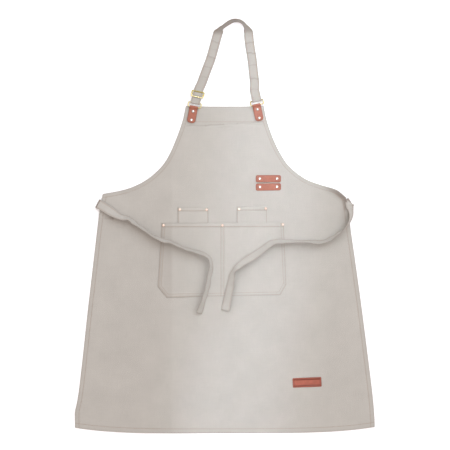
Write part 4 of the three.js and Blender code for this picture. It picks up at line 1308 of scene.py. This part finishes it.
def half_section(thick, outer, shares):
    """The upper half of a strip's section from its left edge to its right: insets from the edge with their
    shares of the thickness, and places between at full thickness."""
    half = thick / 2
    left = [(-1.0, inset, half * part) for inset, part in outer]
    middle = [(share, 0.0, half) for share in shares]
    right = [(1.0, inset, half * part) for inset, part in reversed(outer)]
    return [*left, *middle, *right]


class Ribbon:
    """A flat strap along a route, with its frame at each station."""

    def __init__(self, rows, rests, wobble=0.0):
        known = np.array([(row.x, row.y, rest) for row, rest in zip(rows, rests)])
        gaps = np.linalg.norm(np.diff(known, axis=0), axis=1)
        steps = [max(4, math.ceil(gap / RIBBON_SPACING)) for gap in gaps]
        route = smooth_through(known, steps)
        sections = [i + np.arange(count) / count for i, count in enumerate(steps)]
        at = np.concatenate((*sections, [len(steps)]))
        bank = np.interp(at, np.arange(len(rows)), [row.bank for row in rows])
        way = way_along(route)
        sway = uneven_wave(way, *SWAY_WAVE) + SLOW_SWAY * np.sin(way / SLOW_PITCH + 1.3)
        bank = np.radians(bank + wobble * sway * ease(np.abs(bank), *WOBBLE_BANKS))
        stands = STRAP_THICK * np.abs(np.cos(bank)) + STRAP_WIDTH * np.abs(np.sin(bank))
        route[:, 2] = np.maximum(route[:, 2], 0.0) + stands / 2
        self.centres = route
        self.run = unit(np.gradient(route, axis=0))
        across = self.levels()
        face = np.cross(across, self.run)
        self.edges = across * np.cos(bank)[:, None] + face * np.sin(bank)[:, None]
        self.normals = np.cross(self.edges, self.run)
        self.along = way_along(route)

    def levels(self):
        """The level direction across the strap, kept on one side through the folds."""
        level = np.cross(self.run, UP)
        kept = -level[0]
        made = []
        for run, flat in zip(self.run, level):
            steep = np.linalg.norm(flat) < STEEP
            guide = kept - run * (kept @ run) if steep else flat
            kept = unit(guide if guide @ kept >= 0 else -guide)
            made.append(kept)
        return np.array(made)

    def place(self, across, side, relief):
        """A run along the strap at a distance across it, on its upper or lower face."""
        normal = self.normals * side
        lift = relief(self.along, np.full_like(self.along, across), STRAP_WIDTH / 2) * upward(self.normals)
        path = self.centres + self.edges * across + self.normals * lift[:, None]
        return path + normal * (STRAP_THICK * STITCH_SEAT + STRAP_STITCH_LIFT), normal

    def over(self, x, y):
        """The station whose middle lies nearest to a plan point, on the upper of two layers."""
        away = np.hypot(self.centres[:, 0] - x, self.centres[:, 1] - y)
        return int(np.argmin(away - UPPER_FAVOUR * self.centres[:, 2]))


def strap_relief(creases, wave):
    """Gentle ripples along a strap, with cross creases at some distances along it."""
    def relief(along, across, width):
        """The rise at distances along and across, on a strap of a half width."""
        share = (across / width) ** 2
        rise = wave * (1 + uneven_wave(along, *RIPPLE_WAVE)) * share
        rise = rise + STRAP_CUP * (1 - share) * (1 + np.sin(along / CUP_PITCH + 0.6))
        for place, height, lean in creases:
            off = along + lean * across - place
            flank = np.where(off > 0, 1.0, bell(off, 0.0, CREASE_BACK))
            rise = rise + height * np.exp(-np.abs(off) / CREASE_REACH) * flank
        return rise
    return relief


def strap_stain_and_shade(creases, dark_lengths):
    """Dark lines along a strap's stitching, painted shade along its creases, and darker lengths as middle,
    reach and tone, which its callers give as soil and as painted shade.
    """
    def stain_and_shade(along, across):
        """How dark the strap is at distances along and across."""
        line = STITCH_DARK * bell(np.abs(across), STRAP_WIDTH / 2 - EDGE_STITCH, GROOVE_WIDTH)
        tone = np.broadcast_to(line, np.broadcast_shapes(along.shape, across.shape))
        for place, height, lean in creases:
            wave = CREASE_RAGGED * np.sin(across / 0.0021 + 900 * place)
            off = along + lean * across + wave
            tone = tone + CREASE_PAINTED_SHADE * height * bell(off, place - CREASE_ROUND, CREASE_ROUND)
        for middle, reach, dark in dark_lengths:
            tone = tone + dark * (1 - ease(np.abs(along - middle), 0.7 * reach, reach))
        return tone
    return stain_and_shade


def row_along(base, along, height, shift=0.0):
    """A row of a strap at a distance along a leaning axis, at a height of its middle."""
    angle = math.radians(base.lean)
    x = base.x - math.sin(angle) * along + math.cos(angle) * shift
    y = base.y + math.cos(angle) * along + math.sin(angle) * shift
    return Row(x, y, 0.0, height - STRAP_THICK / 2)


def half_turn(reach, bar_z, turn, upwards):
    """Places of a half turn round a bar, as distances along and heights."""
    angles = [quarter * math.pi / 4 * (1 if upwards else -1) for quarter in (-2, -1, 0, 1, 2)]
    return [(reach * math.cos(angle), bar_z + turn * math.sin(angle)) for angle in angles]


def neck_strap_rows():
    """The neck strap's whole route: round the right ring, over the top, through the slide and back."""
    reach = RING_BARS * math.cos(math.radians(RING_TILT))
    bar_z = FOLD_Z + RING_BARS * math.sin(math.radians(RING_TILT))
    turn = WIRE / 2 + GAP + STRAP_THICK / 2
    middle_z = MIDDLE_BAR_Z + MIDDLE_BAR_THICK / 2
    wrap = (MIDDLE_BAR_THICK + STRAP_THICK) / 2 + GAP

    def on_ring(tab, places):
        """Rows at distances from a ring's upper bar."""
        return [row_along(tab, reach + along, height, tab.strap_shift) for along, height in places]

    def on_buckle(places):
        """Rows at distances from the slide's middle bar."""
        return [row_along(BUCKLE, along, height) for along, height in places]

    sewn_end = [(-SEWN_END_APPROACH, middle_z - wrap)]
    sewn_end += half_turn(wrap + SEWN_END_EASE, middle_z, wrap, True)
    sewn_end += [(-SEWN_END_TAIL, middle_z + wrap)]
    return [
        *on_ring(TABS["right"], UNDER_RIGHT_RING),
        *on_ring(TABS["right"], half_turn(-turn, bar_z, turn, True)),
        *on_ring(TABS["right"], OVER_RIGHT_RING),
        *(row._replace(rest=0.0) for row in NECK_ROUTE),
        *on_buckle(THROUGH_BUCKLE),
        *on_ring(TABS["left"], OVER_LEFT_RING),
        *on_ring(TABS["left"], half_turn(-turn, bar_z, turn, False)),
        *on_ring(TABS["left"], UNDER_LEFT_RING),
        *on_buckle(sewn_end),
    ]


def cloth_under(x, y):
    """The highest cloth under a strap that is centred on a point."""
    reach = STRAP_WIDTH / 2
    over, up = np.meshgrid((-reach, 0.0, reach), (-reach, 0.0, reach))
    px, py = x + over.ravel(), y + up.ravel()
    highest = body_panel().level(px, py).max()
    widest, foot = MAIN_POCKET[2], MAIN_POCKET[-1]
    on = (px > widest.left) & (px < widest.right) & (py < MAIN_POCKET[0].right_y) & (py > foot.left_y)
    if on.any():
        highest = max(highest, main_pocket().front(px[on], py[on]).max())
    return highest


def clear_runs(path, normal):
    """The lengths of a run that lie clear of the floor."""
    clear = np.concatenate(([False], path[:, 2] > FLOOR_CLEAR, [False]))
    turns = np.flatnonzero(np.diff(clear.astype(int)))
    return [(path[a:b], normal[a:b]) for a, b in zip(turns[::2], turns[1::2]) if b - a > 3]


def sewn_strap(node, ribbon, relief, stain_and_shade, runs=()):
    """A strap's cloth and its stitching, laid on its supports."""
    half = STRAP_WIDTH / 2
    section = half_section(STRAP_THICK, TAPE_OUTER, TAPE_SHARES)
    name = f"{node}_cloth"
    frames = (ribbon.centres, ribbon.edges, ribbon.normals)
    mesh = strip_mesh(name, *frames, half, section, relief, stain_and_shade, TAPE_EDGE_DARK)
    cloth = add_piece(mesh, "woven_canvas", "canvas", node)
    line = half - EDGE_STITCH
    edges = [run for across in (-line, line) for side in (-1, 1)
             for run in clear_runs(*ribbon.place(across, side, relief))]
    sewing = stitches(f"{name}_stitching", [*edges, *runs])


# Leather and metal

def leather_section(lines=()):
    """The upper half of a leather strip's section, with further places in from its edges."""
    return half_section(LEATHER, (*LEATHER_OUTER, *lines), LEATHER_SHARES)


def tip_width(from_tip, half, radius):
    """The half width of a strip near a tip with round corners."""
    reach = np.clip(from_tip, 0.0, radius)
    return half - radius + np.sqrt(np.maximum(radius ** 2 - (radius - reach) ** 2, 0.0))


def flat_strip(length, half, corner, count):
    """Stations of a flat strip along X, close together at its round ends, and its half width at each."""
    ends = corner * (1 - np.cos(np.linspace(0.0, math.pi / 2, 9)))
    x = np.concatenate((ends[:-1], np.linspace(corner, length - corner, count), length - ends[-2::-1]))
    widths = tip_width(np.minimum(x, length - x), half, corner)
    return x - length / 2, widths


def tab_strip():
    """The middle line of a folded tab, from the lower leg's tip round the fold to the upper leg's tip."""
    low = TAB_BOTTOM + LEATHER / 2
    high = TAB_TOP - LEATHER / 2
    bend = FOLD_INNER + LEATHER / 2
    tip = TAB_TIP_RADIUS * (1 - np.cos(np.linspace(0.0, math.pi / 2, 10)))
    leg = np.concatenate((TAB_LENGTH - tip[:-1], np.linspace(TAB_LENGTH - TAB_TIP_RADIUS, 0.001, 16)))
    angle = np.linspace(-math.pi / 2, math.pi / 2, 13)
    fold = np.stack((bend * np.cos(angle), FOLD_Z + bend * np.sin(angle)), axis=1)
    slope = np.linspace(0.0, FOLD_RUN, 9)[1:]
    down = np.stack((-slope, lerp(FOLD_Z + bend, high, ease(slope, 0.0, FOLD_RUN))), axis=1)
    back = leg[leg > FOLD_RUN + 0.001][::-1]
    lower = np.stack((-leg, np.full_like(leg, low)), axis=1)
    upper = np.stack((-back, np.full_like(back, high)), axis=1)
    return np.vstack((lower, fold, down, upper))


def revolved(profile, sides=28):
    """Points and faces of a profile turned about the vertical, closed at the axis."""
    angle = np.arange(sides) / sides * TURN
    circle = np.stack((np.cos(angle), np.sin(angle)), axis=1)
    rings = [np.column_stack((r * circle, np.full(sides, z))) for r, z in profile]
    points = [np.array([(0.0, 0.0, profile[0][1])]), *rings, np.array([(0.0, 0.0, profile[-1][1])])]
    count = len(profile)
    faces = []
    for k in range(sides):
        after = (k + 1) % sides
        faces.append((0, 1 + after, 1 + k))
        faces.append((1 + count * sides, 1 + (count - 1) * sides + k, 1 + (count - 1) * sides + after))
        for i in range(count - 1):
            a = 1 + i * sides
            faces.append((a + k, a + after, a + sides + after, a + sides + k))
    return np.vstack(points), faces


def rivet_profile(low, high, cap):
    """A tubular rivet from its back up to its domed cap with a rolled brim."""
    back = ((0.55, 0.0), (0.84, 0.0), (0.90, 0.0002), (0.90, 0.0005), (0.80, 0.0007), (0.36, 0.0007))
    brim = ((0.36, 0.0014), (0.92, 0.00145), (0.99, 0.0012), (1.00, RIVET_DOME))
    dome = [(math.cos(a), RIVET_DOME - RIVET_DOME * math.sin(a)) for a in np.linspace(0.25, 1.5, 7)]
    lower = [(cap * share, low + above) for share, above in back]
    return lower + [(cap * share, high - below) for share, below in (*brim, *dome)]


def framed_ring(outer, inner, low, high, soften):
    """A flat ring between two plan paths, with softened edges."""
    slight = soften * 0.3
    half = [(0.0, soften), (0.0, 1 - soften), (slight, 1 - slight), (soften, 1.0), (1 - soften, 1.0),
            (1 - slight, 1 - slight)]
    steps = half + [(1 - s, 1 - h) for s, h in half]
    heights = [np.full(len(outer), lerp(low, high, h)) for _, h in steps]
    rings = [np.column_stack((lerp(inner, outer, s), z)) for (s, _), z in zip(steps, heights)]
    points = np.stack(rings, axis=1)
    return points.reshape(-1, 3), [face[::-1] for face in ring_faces(len(outer), len(steps))]


def soft_bar(size, middle, soften):
    """A bar along X with a soft rectangular section and closed ends."""
    half = np.array(size) / 2
    section = rounded_rectangle(size[1], size[2], soften, 3, 2)
    ends = ((-1.0, 0.82), (-0.985, 0.95), (-0.96, 1.0), (0.96, 1.0), (0.985, 0.95), (1.0, 0.82))
    rings = [np.column_stack((np.full(len(section), half[0] * x), section * scale)) for x, scale in ends]
    points = np.vstack(rings) + np.array(middle)
    sides = len(section)
    number = np.arange(len(ends) * sides).reshape(len(ends), sides)
    ahead = np.roll(number, -1, axis=1)
    faces = quads(number[1:], ahead[1:], ahead[:-1], number[:-1]).tolist()
    return points, [*faces, number[0].tolist(), number[-1, ::-1].tolist()]


def joined(*parts):
    """Points and faces of several bodies as one."""
    points = []
    faces = []
    for own, around in parts:
        start = sum(len(p) for p in points)
        points.append(own)
        faces += [[start + corner for corner in face] for face in around]
    return np.vstack(points), faces


# What a user may change

def colour_setting(name, description, default):
    """A colour."""
    return FloatVectorProperty(
        name=name, description=description, default=default, subtype="COLOR", size=3, min=0.0, max=1.0)


def length_setting(name, description, default, least):
    """A length that is never under the least."""
    return FloatProperty(name=name, description=description, default=default, unit="LENGTH", min=least)


def power_setting(name, description, default):
    """A lamp's power."""
    return FloatProperty(name=name, description=description, default=default, unit="POWER", min=0.0)


def number_setting(name, description, default, least=0.0):
    """A plain number that is never under the least."""
    return FloatProperty(name=name, description=description, default=default, subtype="UNSIGNED", min=least)


class ApronLook(bpy.types.PropertyGroup):
    """Colours and sewing sizes of the apron, and the studio's light."""

    canvas: colour_setting("Canvas", "Colour of the cloth", (0.465, 0.444, 0.403))
    # The seam colour also colours the painted shade that the cloth's attribute carries
    seam: colour_setting("Seam", "Colour of the cloth along worn edges and seams", (0.250, 0.215, 0.185))
    thread: colour_setting("Thread", "Colour of the sewing thread", (0.400, 0.290, 0.215))
    leather: colour_setting("Leather", "Colour of the tabs and tool loops", (0.358, 0.120, 0.073))
    label_leather: colour_setting("Label leather", "Colour of the label patch", (0.366, 0.096, 0.059))
    brass: colour_setting("Brass", "Colour of the rings and the slide", (0.640, 0.550, 0.300))
    nickel: colour_setting("Nickel", "Colour of the rivets in the leather", (0.520, 0.505, 0.475))
    copper: colour_setting("Copper", "Colour of the rivets in the pockets", (0.760, 0.590, 0.500))
    weave_pitch: length_setting("Weave pitch", "Distance after which the weave repeats", 0.0013, 0.0004)
    stitch_pitch: length_setting("Stitch pitch", "Distance from stitch to stitch", 0.0034, 0.001)
    stitch_length: length_setting("Stitch length", "Length of thread that shows", 0.0029, 0.001)
    stitch_width: length_setting("Stitch width", "Thickness of the thread", 0.00075, 0.0002)
    floor: colour_setting("Floor", "Colour of the floor", (0.930, 0.930, 0.930))
    floor_glow: number_setting("Floor glow", "Light that the floor gives off itself", 0.12)
    key_colour: colour_setting("Key colour", "Colour of the two lamps", (0.770, 0.892, 1.000))
    key_power: power_setting("Key light", "Power of the large lamp", 36.5)
    top_power: power_setting("Top light", "Power of the long lamp overhead", 0.41)
    fill: colour_setting("Fill", "Colour of the light from all round", (1.000, 0.900, 0.872))
    fill_zenith: number_setting("Fill above", "Strength of the light from overhead", 1.24)
    fill_horizon: number_setting("Fill around", "Strength of the light from the sides", 0.40)
    camera_height: length_setting("Camera height", "Height of the camera above the floor", 2.656, 0.5)
    camera_lens: number_setting("Lens", "Focal length of the camera in millimetres", 85.0, 10.0)


class ApronOperator:
    """What the apron's operators share."""

    bl_options = {"REGISTER", "UNDO"}

    def execute(self, _context):
        """Makes the pieces."""
        self.make()
        return {"FINISHED"}


class APRON_OT_stage(ApronOperator, bpy.types.Operator):
    """Set up the floor, the lights and the camera straight above the apron"""

    bl_idname = "apron.stage"
    bl_label = "Stage"

    def make(self):
        """Adds the floor, two lamps, the light all round and the camera."""
        scene = bpy.context.scene
        look = looks()
        signs = ((-1, -1), (1, -1), (1, 1), (-1, 1))
        corners = [(x * FLOOR_HALF, y * FLOOR_HALF, FLOOR_Z) for x, y in signs]
        floor = bpy.data.objects.new("studio_floor", bpy.data.meshes.new("studio_floor"))
        floor.data.from_pydata(corners, [], [(0, 1, 2, 3)])
        floor.data.materials.append(floor_finish(look))
        scene.collection.objects.link(floor)
        self.add_lamp("key_lamp", KEY_LAMP, look.key_power)
        self.add_lamp("top_lamp", TOP_LAMP, look.top_power)
        world = bpy.data.worlds.new("studio")
        world.use_nodes = True
        tree = world.node_tree
        glow = tree.nodes["Background"]
        glow.inputs["Color"].default_value = (*look.fill, 1.0)
        upwards = tree.nodes.new("ShaderNodeSeparateXYZ")
        tree.links.new(tree.nodes.new("ShaderNodeTexCoord").outputs["Generated"], upwards.inputs[0])
        fade = tree.nodes.new("ShaderNodeMapRange")
        fade.inputs["To Min"].default_value = look.fill_horizon
        fade.inputs["To Max"].default_value = look.fill_zenith
        tree.links.new(upwards.outputs["Z"], fade.inputs["Value"])
        tree.links.new(fade.outputs[0], glow.inputs["Strength"])
        scene.world = world
        scene.view_settings.view_transform = "Standard"
        camera = bpy.data.objects.new("camera", bpy.data.cameras.new("camera"))
        camera.data.lens = look.camera_lens
        camera.data.sensor_width = SENSOR_WIDTH
        camera.location = (CAMERA_X, CAMERA_Y, look.camera_height)
        scene.collection.objects.link(camera)
        scene.camera = camera

    def add_lamp(self, name, lamp, power):
        """A lamp of a power in watts."""
        light = bpy.data.lights.new(name, "AREA")
        light.shape = "RECTANGLE"
        light.size, light.size_y = lamp.size
        light.energy = power
        light.spread = math.radians(lamp.spread)
        light.color = looks().key_colour
        holder = bpy.data.objects.new(name, light)
        holder.location = lamp.place
        away = holder.location - type(holder.location)(lamp.aim)
        holder.rotation_euler = away.to_track_quat("Z", "Y").to_euler()
        holder.rotation_euler.rotate_axis("Z", math.radians(lamp.roll))
        bpy.context.scene.collection.objects.link(holder)


class APRON_OT_body(ApronOperator, bpy.types.Operator):
    """Lay the body panel with its hems and stitching"""

    bl_idname = "apron.body"
    bl_label = "Body panel"

    def make(self):
        """Makes the cloth and its hem stitching."""
        panel = body_panel()
        cloth = add_piece(panel.mesh(), "woven_canvas", "canvas", "body_panel")
        sewing = stitches("body_stitching", panel.stitch_runs())


class APRON_OT_pockets(ApronOperator, bpy.types.Operator):
    """Sew on the wide pocket and the two pen pockets"""

    bl_idname = "apron.pockets"
    bl_label = "Pockets"

    def make(self):
        """Makes each pocket and its stitching."""
        wide = main_pocket()
        cloth = wide.sheet("pocket_cloth", "pocket_main", POCKET_COLUMNS)
        runs = [wide.run(wide.inside(line)) for line in SEAM_LINES]
        runs.append(wide.run(wide.below_opening(POCKET_HEM, HEM_TRIM)))
        foot = (MAIN_POCKET[-1].left_y + MAIN_POCKET[-1].right_y) / 2
        for x in DIVIDER_LINES:
            runs.append(wide.run(np.array(((x, -DIVIDER_TRIM), (x, foot + DIVIDER_TRIM)))))
        sewing = stitches("pocket_stitching", runs)
        for node in PEN_TOPS:
            self.pen(node)

    def pen(self, node):
        """Makes one pen pocket."""
        pocket = pen_pocket(node)
        cloth = pocket.sheet(f"{node}_cloth", node, PEN_COLUMNS)
        seam = pocket.inside(SEAM_LINES[0])
        sides = [np.array((end, (end[0], PEN_SEAM_END))) for end in (seam[0], seam[-1])]
        runs = [pocket.run(side - (0.0, PEN_TRIM)) for side in sides]
        runs.append(pocket.run(pocket.below_opening(POCKET_HEM, PEN_TRIM)))
        sewing = stitches(f"{node}_stitching", runs)


class APRON_OT_neck_strap(ApronOperator, bpy.types.Operator):
    """Run the neck strap from ring to ring through the slide"""

    bl_idname = "apron.neck_strap"
    bl_label = "Neck strap"

    def make(self):
        """Makes the strap and its stitching."""
        rows = neck_strap_rows()
        ribbon = Ribbon(rows, [row.rest for row in rows])
        creases = [(ribbon.along[ribbon.over(crease.x, crease.y)], crease.height, crease.lean)
                   for crease in STRAP_CREASES]
        half = STRAP_WIDTH / 2 - LAP_TRIM
        lap = ribbon.over(*LAP_SEAM)
        across = np.linspace(-half, half, 15)[:, None]
        seat = ribbon.normals[lap] * STRAP_THICK * LAP_SEAT
        seam = ribbon.centres[lap] + ribbon.edges[lap] * across + seat
        normal = np.broadcast_to(ribbon.normals[lap], seam.shape)
        begin, end = (ribbon.along[ribbon.over(*place)] for place in ARCH_ENDS)
        whole = ribbon.along[-1]
        # Light soil over the whole strap, painted shade over the arch, and deeper painted shade at one
        # place on it
        stain_and_shade = strap_stain_and_shade(creases, (
            (whole / 2, whole, STRAP_SOIL),
            ((begin + end) / 2, (end - begin) / 2 + ARCH_PAINTED_SHADE_OVER, ARCH_PAINTED_SHADE),
            (lerp(begin, end, ARCH_SHADE_AT), ARCH_SHADE_REACH, ARCH_SHADE),
        ))
        relief = strap_relief(creases, NECK_RIPPLE)
        sewn_strap("neck_strap", ribbon, relief, stain_and_shade, [(seam, normal)])


class APRON_OT_waist_ties(ApronOperator, bpy.types.Operator):
    """Lay the two waist ties over the front"""

    bl_idname = "apron.waist_ties"
    bl_label = "Waist ties"

    def make(self):
        """Makes both ties and their stitching."""
        relief = strap_relief((), TIE_RIPPLE)
        for node, rows in (("waist_tie_left", LEFT_TIE), ("waist_tie_right", RIGHT_TIE)):
            rests = [cloth_under(row.x, row.y) + LAID_GAP if row.rest is None else row.rest for row in rows]
            ribbon = Ribbon(rows, rests, TIE_WOBBLE)
            fold = ribbon.along[ribbon.over(*TIE_FOLDS[node])]
            # Painted shade at the tie's fold
            stain_and_shade = strap_stain_and_shade((), [(fold - TIE_FOLD_BACK, TIE_FOLD_REACH, TIE_FOLD_PAINTED_SHADE)])
            sewn_strap(node, ribbon, relief, stain_and_shade)


class APRON_OT_leather(ApronOperator, bpy.types.Operator):
    """Cut the leather tabs, the tool loops and the label patch"""

    bl_idname = "apron.leather"
    bl_label = "Leather"

    def make(self):
        """Makes the five leather pieces."""
        for side, tab in TABS.items():
            self.tab(f"leather_tab_{side}", tab)
        for node, turn in LOOP_TURNS.items():
            self.loop(node, turn)
        self.label("label_patch")

    def tab(self, node, tab):
        """A strip folded round its ring."""
        path = tab_strip()
        run = unit(np.gradient(path, axis=0))
        normals = np.stack((np.zeros(len(path)), run[:, 1], -run[:, 0]), axis=1)
        centres = np.column_stack((np.zeros(len(path)), path))
        step = way_along(path)
        widths = tip_width(np.minimum(step, step[-1] - step), TAB_WIDTH / 2, TAB_TIP_RADIUS)
        edges = np.broadcast_to((1.0, 0.0, 0.0), normals.shape)
        frames = [turned(centres, tab.lean, tab.x, tab.y)]
        frames += [turned(directions, tab.lean) for directions in (edges, normals)]
        mesh = strip_mesh(f"{node}_leather", *frames, widths, leather_section())
        add_piece(mesh, "tan_leather", "leather", node)

    def loop(self, node, turn):
        """A bar that bows up a little between its rivets."""
        x, widths = flat_strip(LOOP_LENGTH, LOOP_WIDTH / 2, LOOP_CORNER, LOOP_STATIONS)
        phase = np.minimum(np.abs(x) / LOOP_RIVET_SPREAD, 0.5) * math.pi
        self.flat(node, x, LOOP_BOW * np.cos(phase) ** 2, widths, turn, "tan_leather", leather_section())

    def label(self, node):
        """A patch with a tooled line round its border."""
        x, widths = flat_strip(LABEL_LENGTH, LABEL_WIDTH / 2, LABEL_CORNER, LABEL_STATIONS)

        def border(along, across):
            """How near the tooled line is, from 0 to 1."""
            from_end = np.minimum(along, along.max() - along)
            from_edge = np.minimum(LABEL_WIDTH / 2 - np.abs(across), from_end)
            return bell(from_edge, LABEL_BORDER, LABEL_LINE)

        def tooled(along, across, _width):
            """The groove of the tooled line."""
            return -LABEL_GROOVE * border(along, across)

        section = leather_section((line, 1.0) for line in LABEL_LINES)
        level = np.zeros_like(x)
        self.flat(node, x, level, widths, LABEL_TURN, "label_leather", section, tooled, border)

    def flat(self, node, x, rise, widths, turn, material, section, relief=None, stain_and_shade=None):
        """A flat strip of leather in the middle of its node's box, at a turn."""
        low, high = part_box(node)
        middle = (low + high) / 2
        z = low.z + LEATHER / 2 + rise
        centres = turned(np.stack((x, np.zeros_like(x), z), axis=1), turn, middle.x, middle.y)
        edges = turned(np.broadcast_to((0.0, -1.0, 0.0), centres.shape), turn)
        normals = np.broadcast_to(UP, centres.shape)
        mesh = strip_mesh(f"{node}_leather", centres, edges, normals, widths, section, relief, stain_and_shade)
        add_piece(mesh, material, "leather", node)


class APRON_OT_brass(ApronOperator, bpy.types.Operator):
    """Cast the two rings and the slide buckle"""

    bl_idname = "apron.brass"
    bl_label = "Rings and slide"

    def make(self):
        """Makes the rings and the slide."""
        for side, tab in TABS.items():
            self.ring(f"ring_{side}", tab)
        self.slide("slide_buckle")

    def ring(self, node, tab):
        """A rectangular ring of round wire, tilted about the bar in its tab."""
        path = rounded_rectangle(RING_WIDTH - WIRE, RING_BARS, RING_CORNER)
        points, faces = wire_ring(path, WIRE / 2)
        tilt = math.radians(RING_TILT)
        along = points[:, 1] + RING_BARS / 2
        y = along * math.cos(tilt) - points[:, 2] * math.sin(tilt)
        z = FOLD_Z + along * math.sin(tilt) + points[:, 2] * math.cos(tilt)
        placed = turned(np.stack((points[:, 0] + tab.ring_shift, y, z), axis=1), tab.lean, tab.x, tab.y)
        # Painted dark reflection on the upper bar
        darkened = RING_REFLECTION_DARK[node] * ease(points[:, 1], 0.0, RING_BARS / 2)
        add_piece(mesh_from(f"{node}_wire", placed, faces, None, darkened), "cast_brass", "brass", node)

    def slide(self, node):
        """A frame with a lower middle bar between two posts."""
        inner_width = BUCKLE_WIDTH - 2 * BUCKLE_RAIL
        outer = rounded_rectangle(BUCKLE_WIDTH, BUCKLE_HEIGHT, BUCKLE_CORNER)
        inner = rounded_rectangle(inner_width, BUCKLE_HEIGHT - 2 * BUCKLE_BAR, BUCKLE_INNER_CORNER)
        top = BUCKLE_FRAME_Z + BUCKLE_FRAME_THICK
        parts = [framed_ring(outer, inner, BUCKLE_FRAME_Z, top, BUCKLE_SOFT)]
        bar = (inner_width + BUCKLE_RAIL, MIDDLE_BAR_DEPTH, MIDDLE_BAR_THICK)
        parts.append(soft_bar(bar, (0.0, 0.0, MIDDLE_BAR_Z + MIDDLE_BAR_THICK / 2), BAR_SOFT))
        tall = BUCKLE_FRAME_Z + BUCKLE_FRAME_THICK / 2 - MIDDLE_BAR_Z
        for end in (-1, 1):
            place = (end * (inner_width + BUCKLE_RAIL) / 2, 0.0, MIDDLE_BAR_Z + tall / 2)
            parts.append(soft_bar((POST_WIDTH, POST_DEPTH, tall), place, BAR_SOFT))
        points, faces = joined(*parts)
        placed = turned(points, BUCKLE.lean, BUCKLE.x, BUCKLE.y)
        # Painted dark reflection on the upper bar
        darkened = ease(points[:, 1], *(BUCKLE_HEIGHT * share for share in BUCKLE_REFLECTION_DARK))
        add_piece(mesh_from(f"{node}_brass", placed, faces, None, darkened), "cast_brass", "brass", node)


class APRON_OT_rivets(ApronOperator, bpy.types.Operator):
    """Set the rivets in the leather and the pockets"""

    bl_idname = "apron.rivets"
    bl_label = "Rivets"

    def make(self):
        """Makes a rivet for each rivet of the frame."""
        for node in sorted(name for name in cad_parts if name.startswith("rivet_")):
            metal, slot, brown = RIVET_KINDS[node.split("_")[1]]
            low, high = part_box(node)
            middle = (low + high) / 2
            cap = (high.y - low.y) / 2
            points, faces = revolved(rivet_profile(low.z, high.z, cap))
            darkened = brown * ease(np.hypot(points[:, 0], points[:, 1]) / cap, *RIVET_BRIM)
            points = points + np.array((middle.x, middle.y, 0.0))
            add_piece(mesh_from(f"{node}_cap", points, faces, None, darkened), metal, slot, node)


class APRON_PT_pieces(bpy.types.Panel):
    """The apron's pieces and looks"""

    bl_idname = "APRON_PT_pieces"
    bl_label = "Apron"
    bl_space_type = "VIEW_3D"
    bl_region_type = "UI"
    bl_category = "Apron"

    def draw(self, context):
        """Lists the operators and the looks."""
        for operator in OPERATORS:
            self.layout.operator(operator.bl_idname)
        for name in ApronLook.__annotations__:
            self.layout.prop(context.scene.apron_look, name)


OPERATORS = (
    APRON_OT_stage,
    APRON_OT_body,
    APRON_OT_pockets,
    APRON_OT_neck_strap,
    APRON_OT_waist_ties,
    APRON_OT_leather,
    APRON_OT_brass,
    APRON_OT_rivets,
)
CLASSES = (ApronLook, *OPERATORS, APRON_PT_pieces)


def register():
    """Registers the classes and the scene's looks."""
    for made in CLASSES:
        bpy.utils.register_class(made)
    bpy.types.Scene.apron_look = PointerProperty(type=ApronLook)


def unregister():
    """Takes the classes and the looks away again."""
    del bpy.types.Scene.apron_look
    for made in reversed(CLASSES):
        bpy.utils.unregister_class(made)


def main():
    """Makes the stage and every piece."""
    register()
    for operator in OPERATORS:
        group, name = operator.bl_idname.split(".")
        getattr(getattr(bpy.ops, group), name)()


if __name__ == "__main__":
    main()
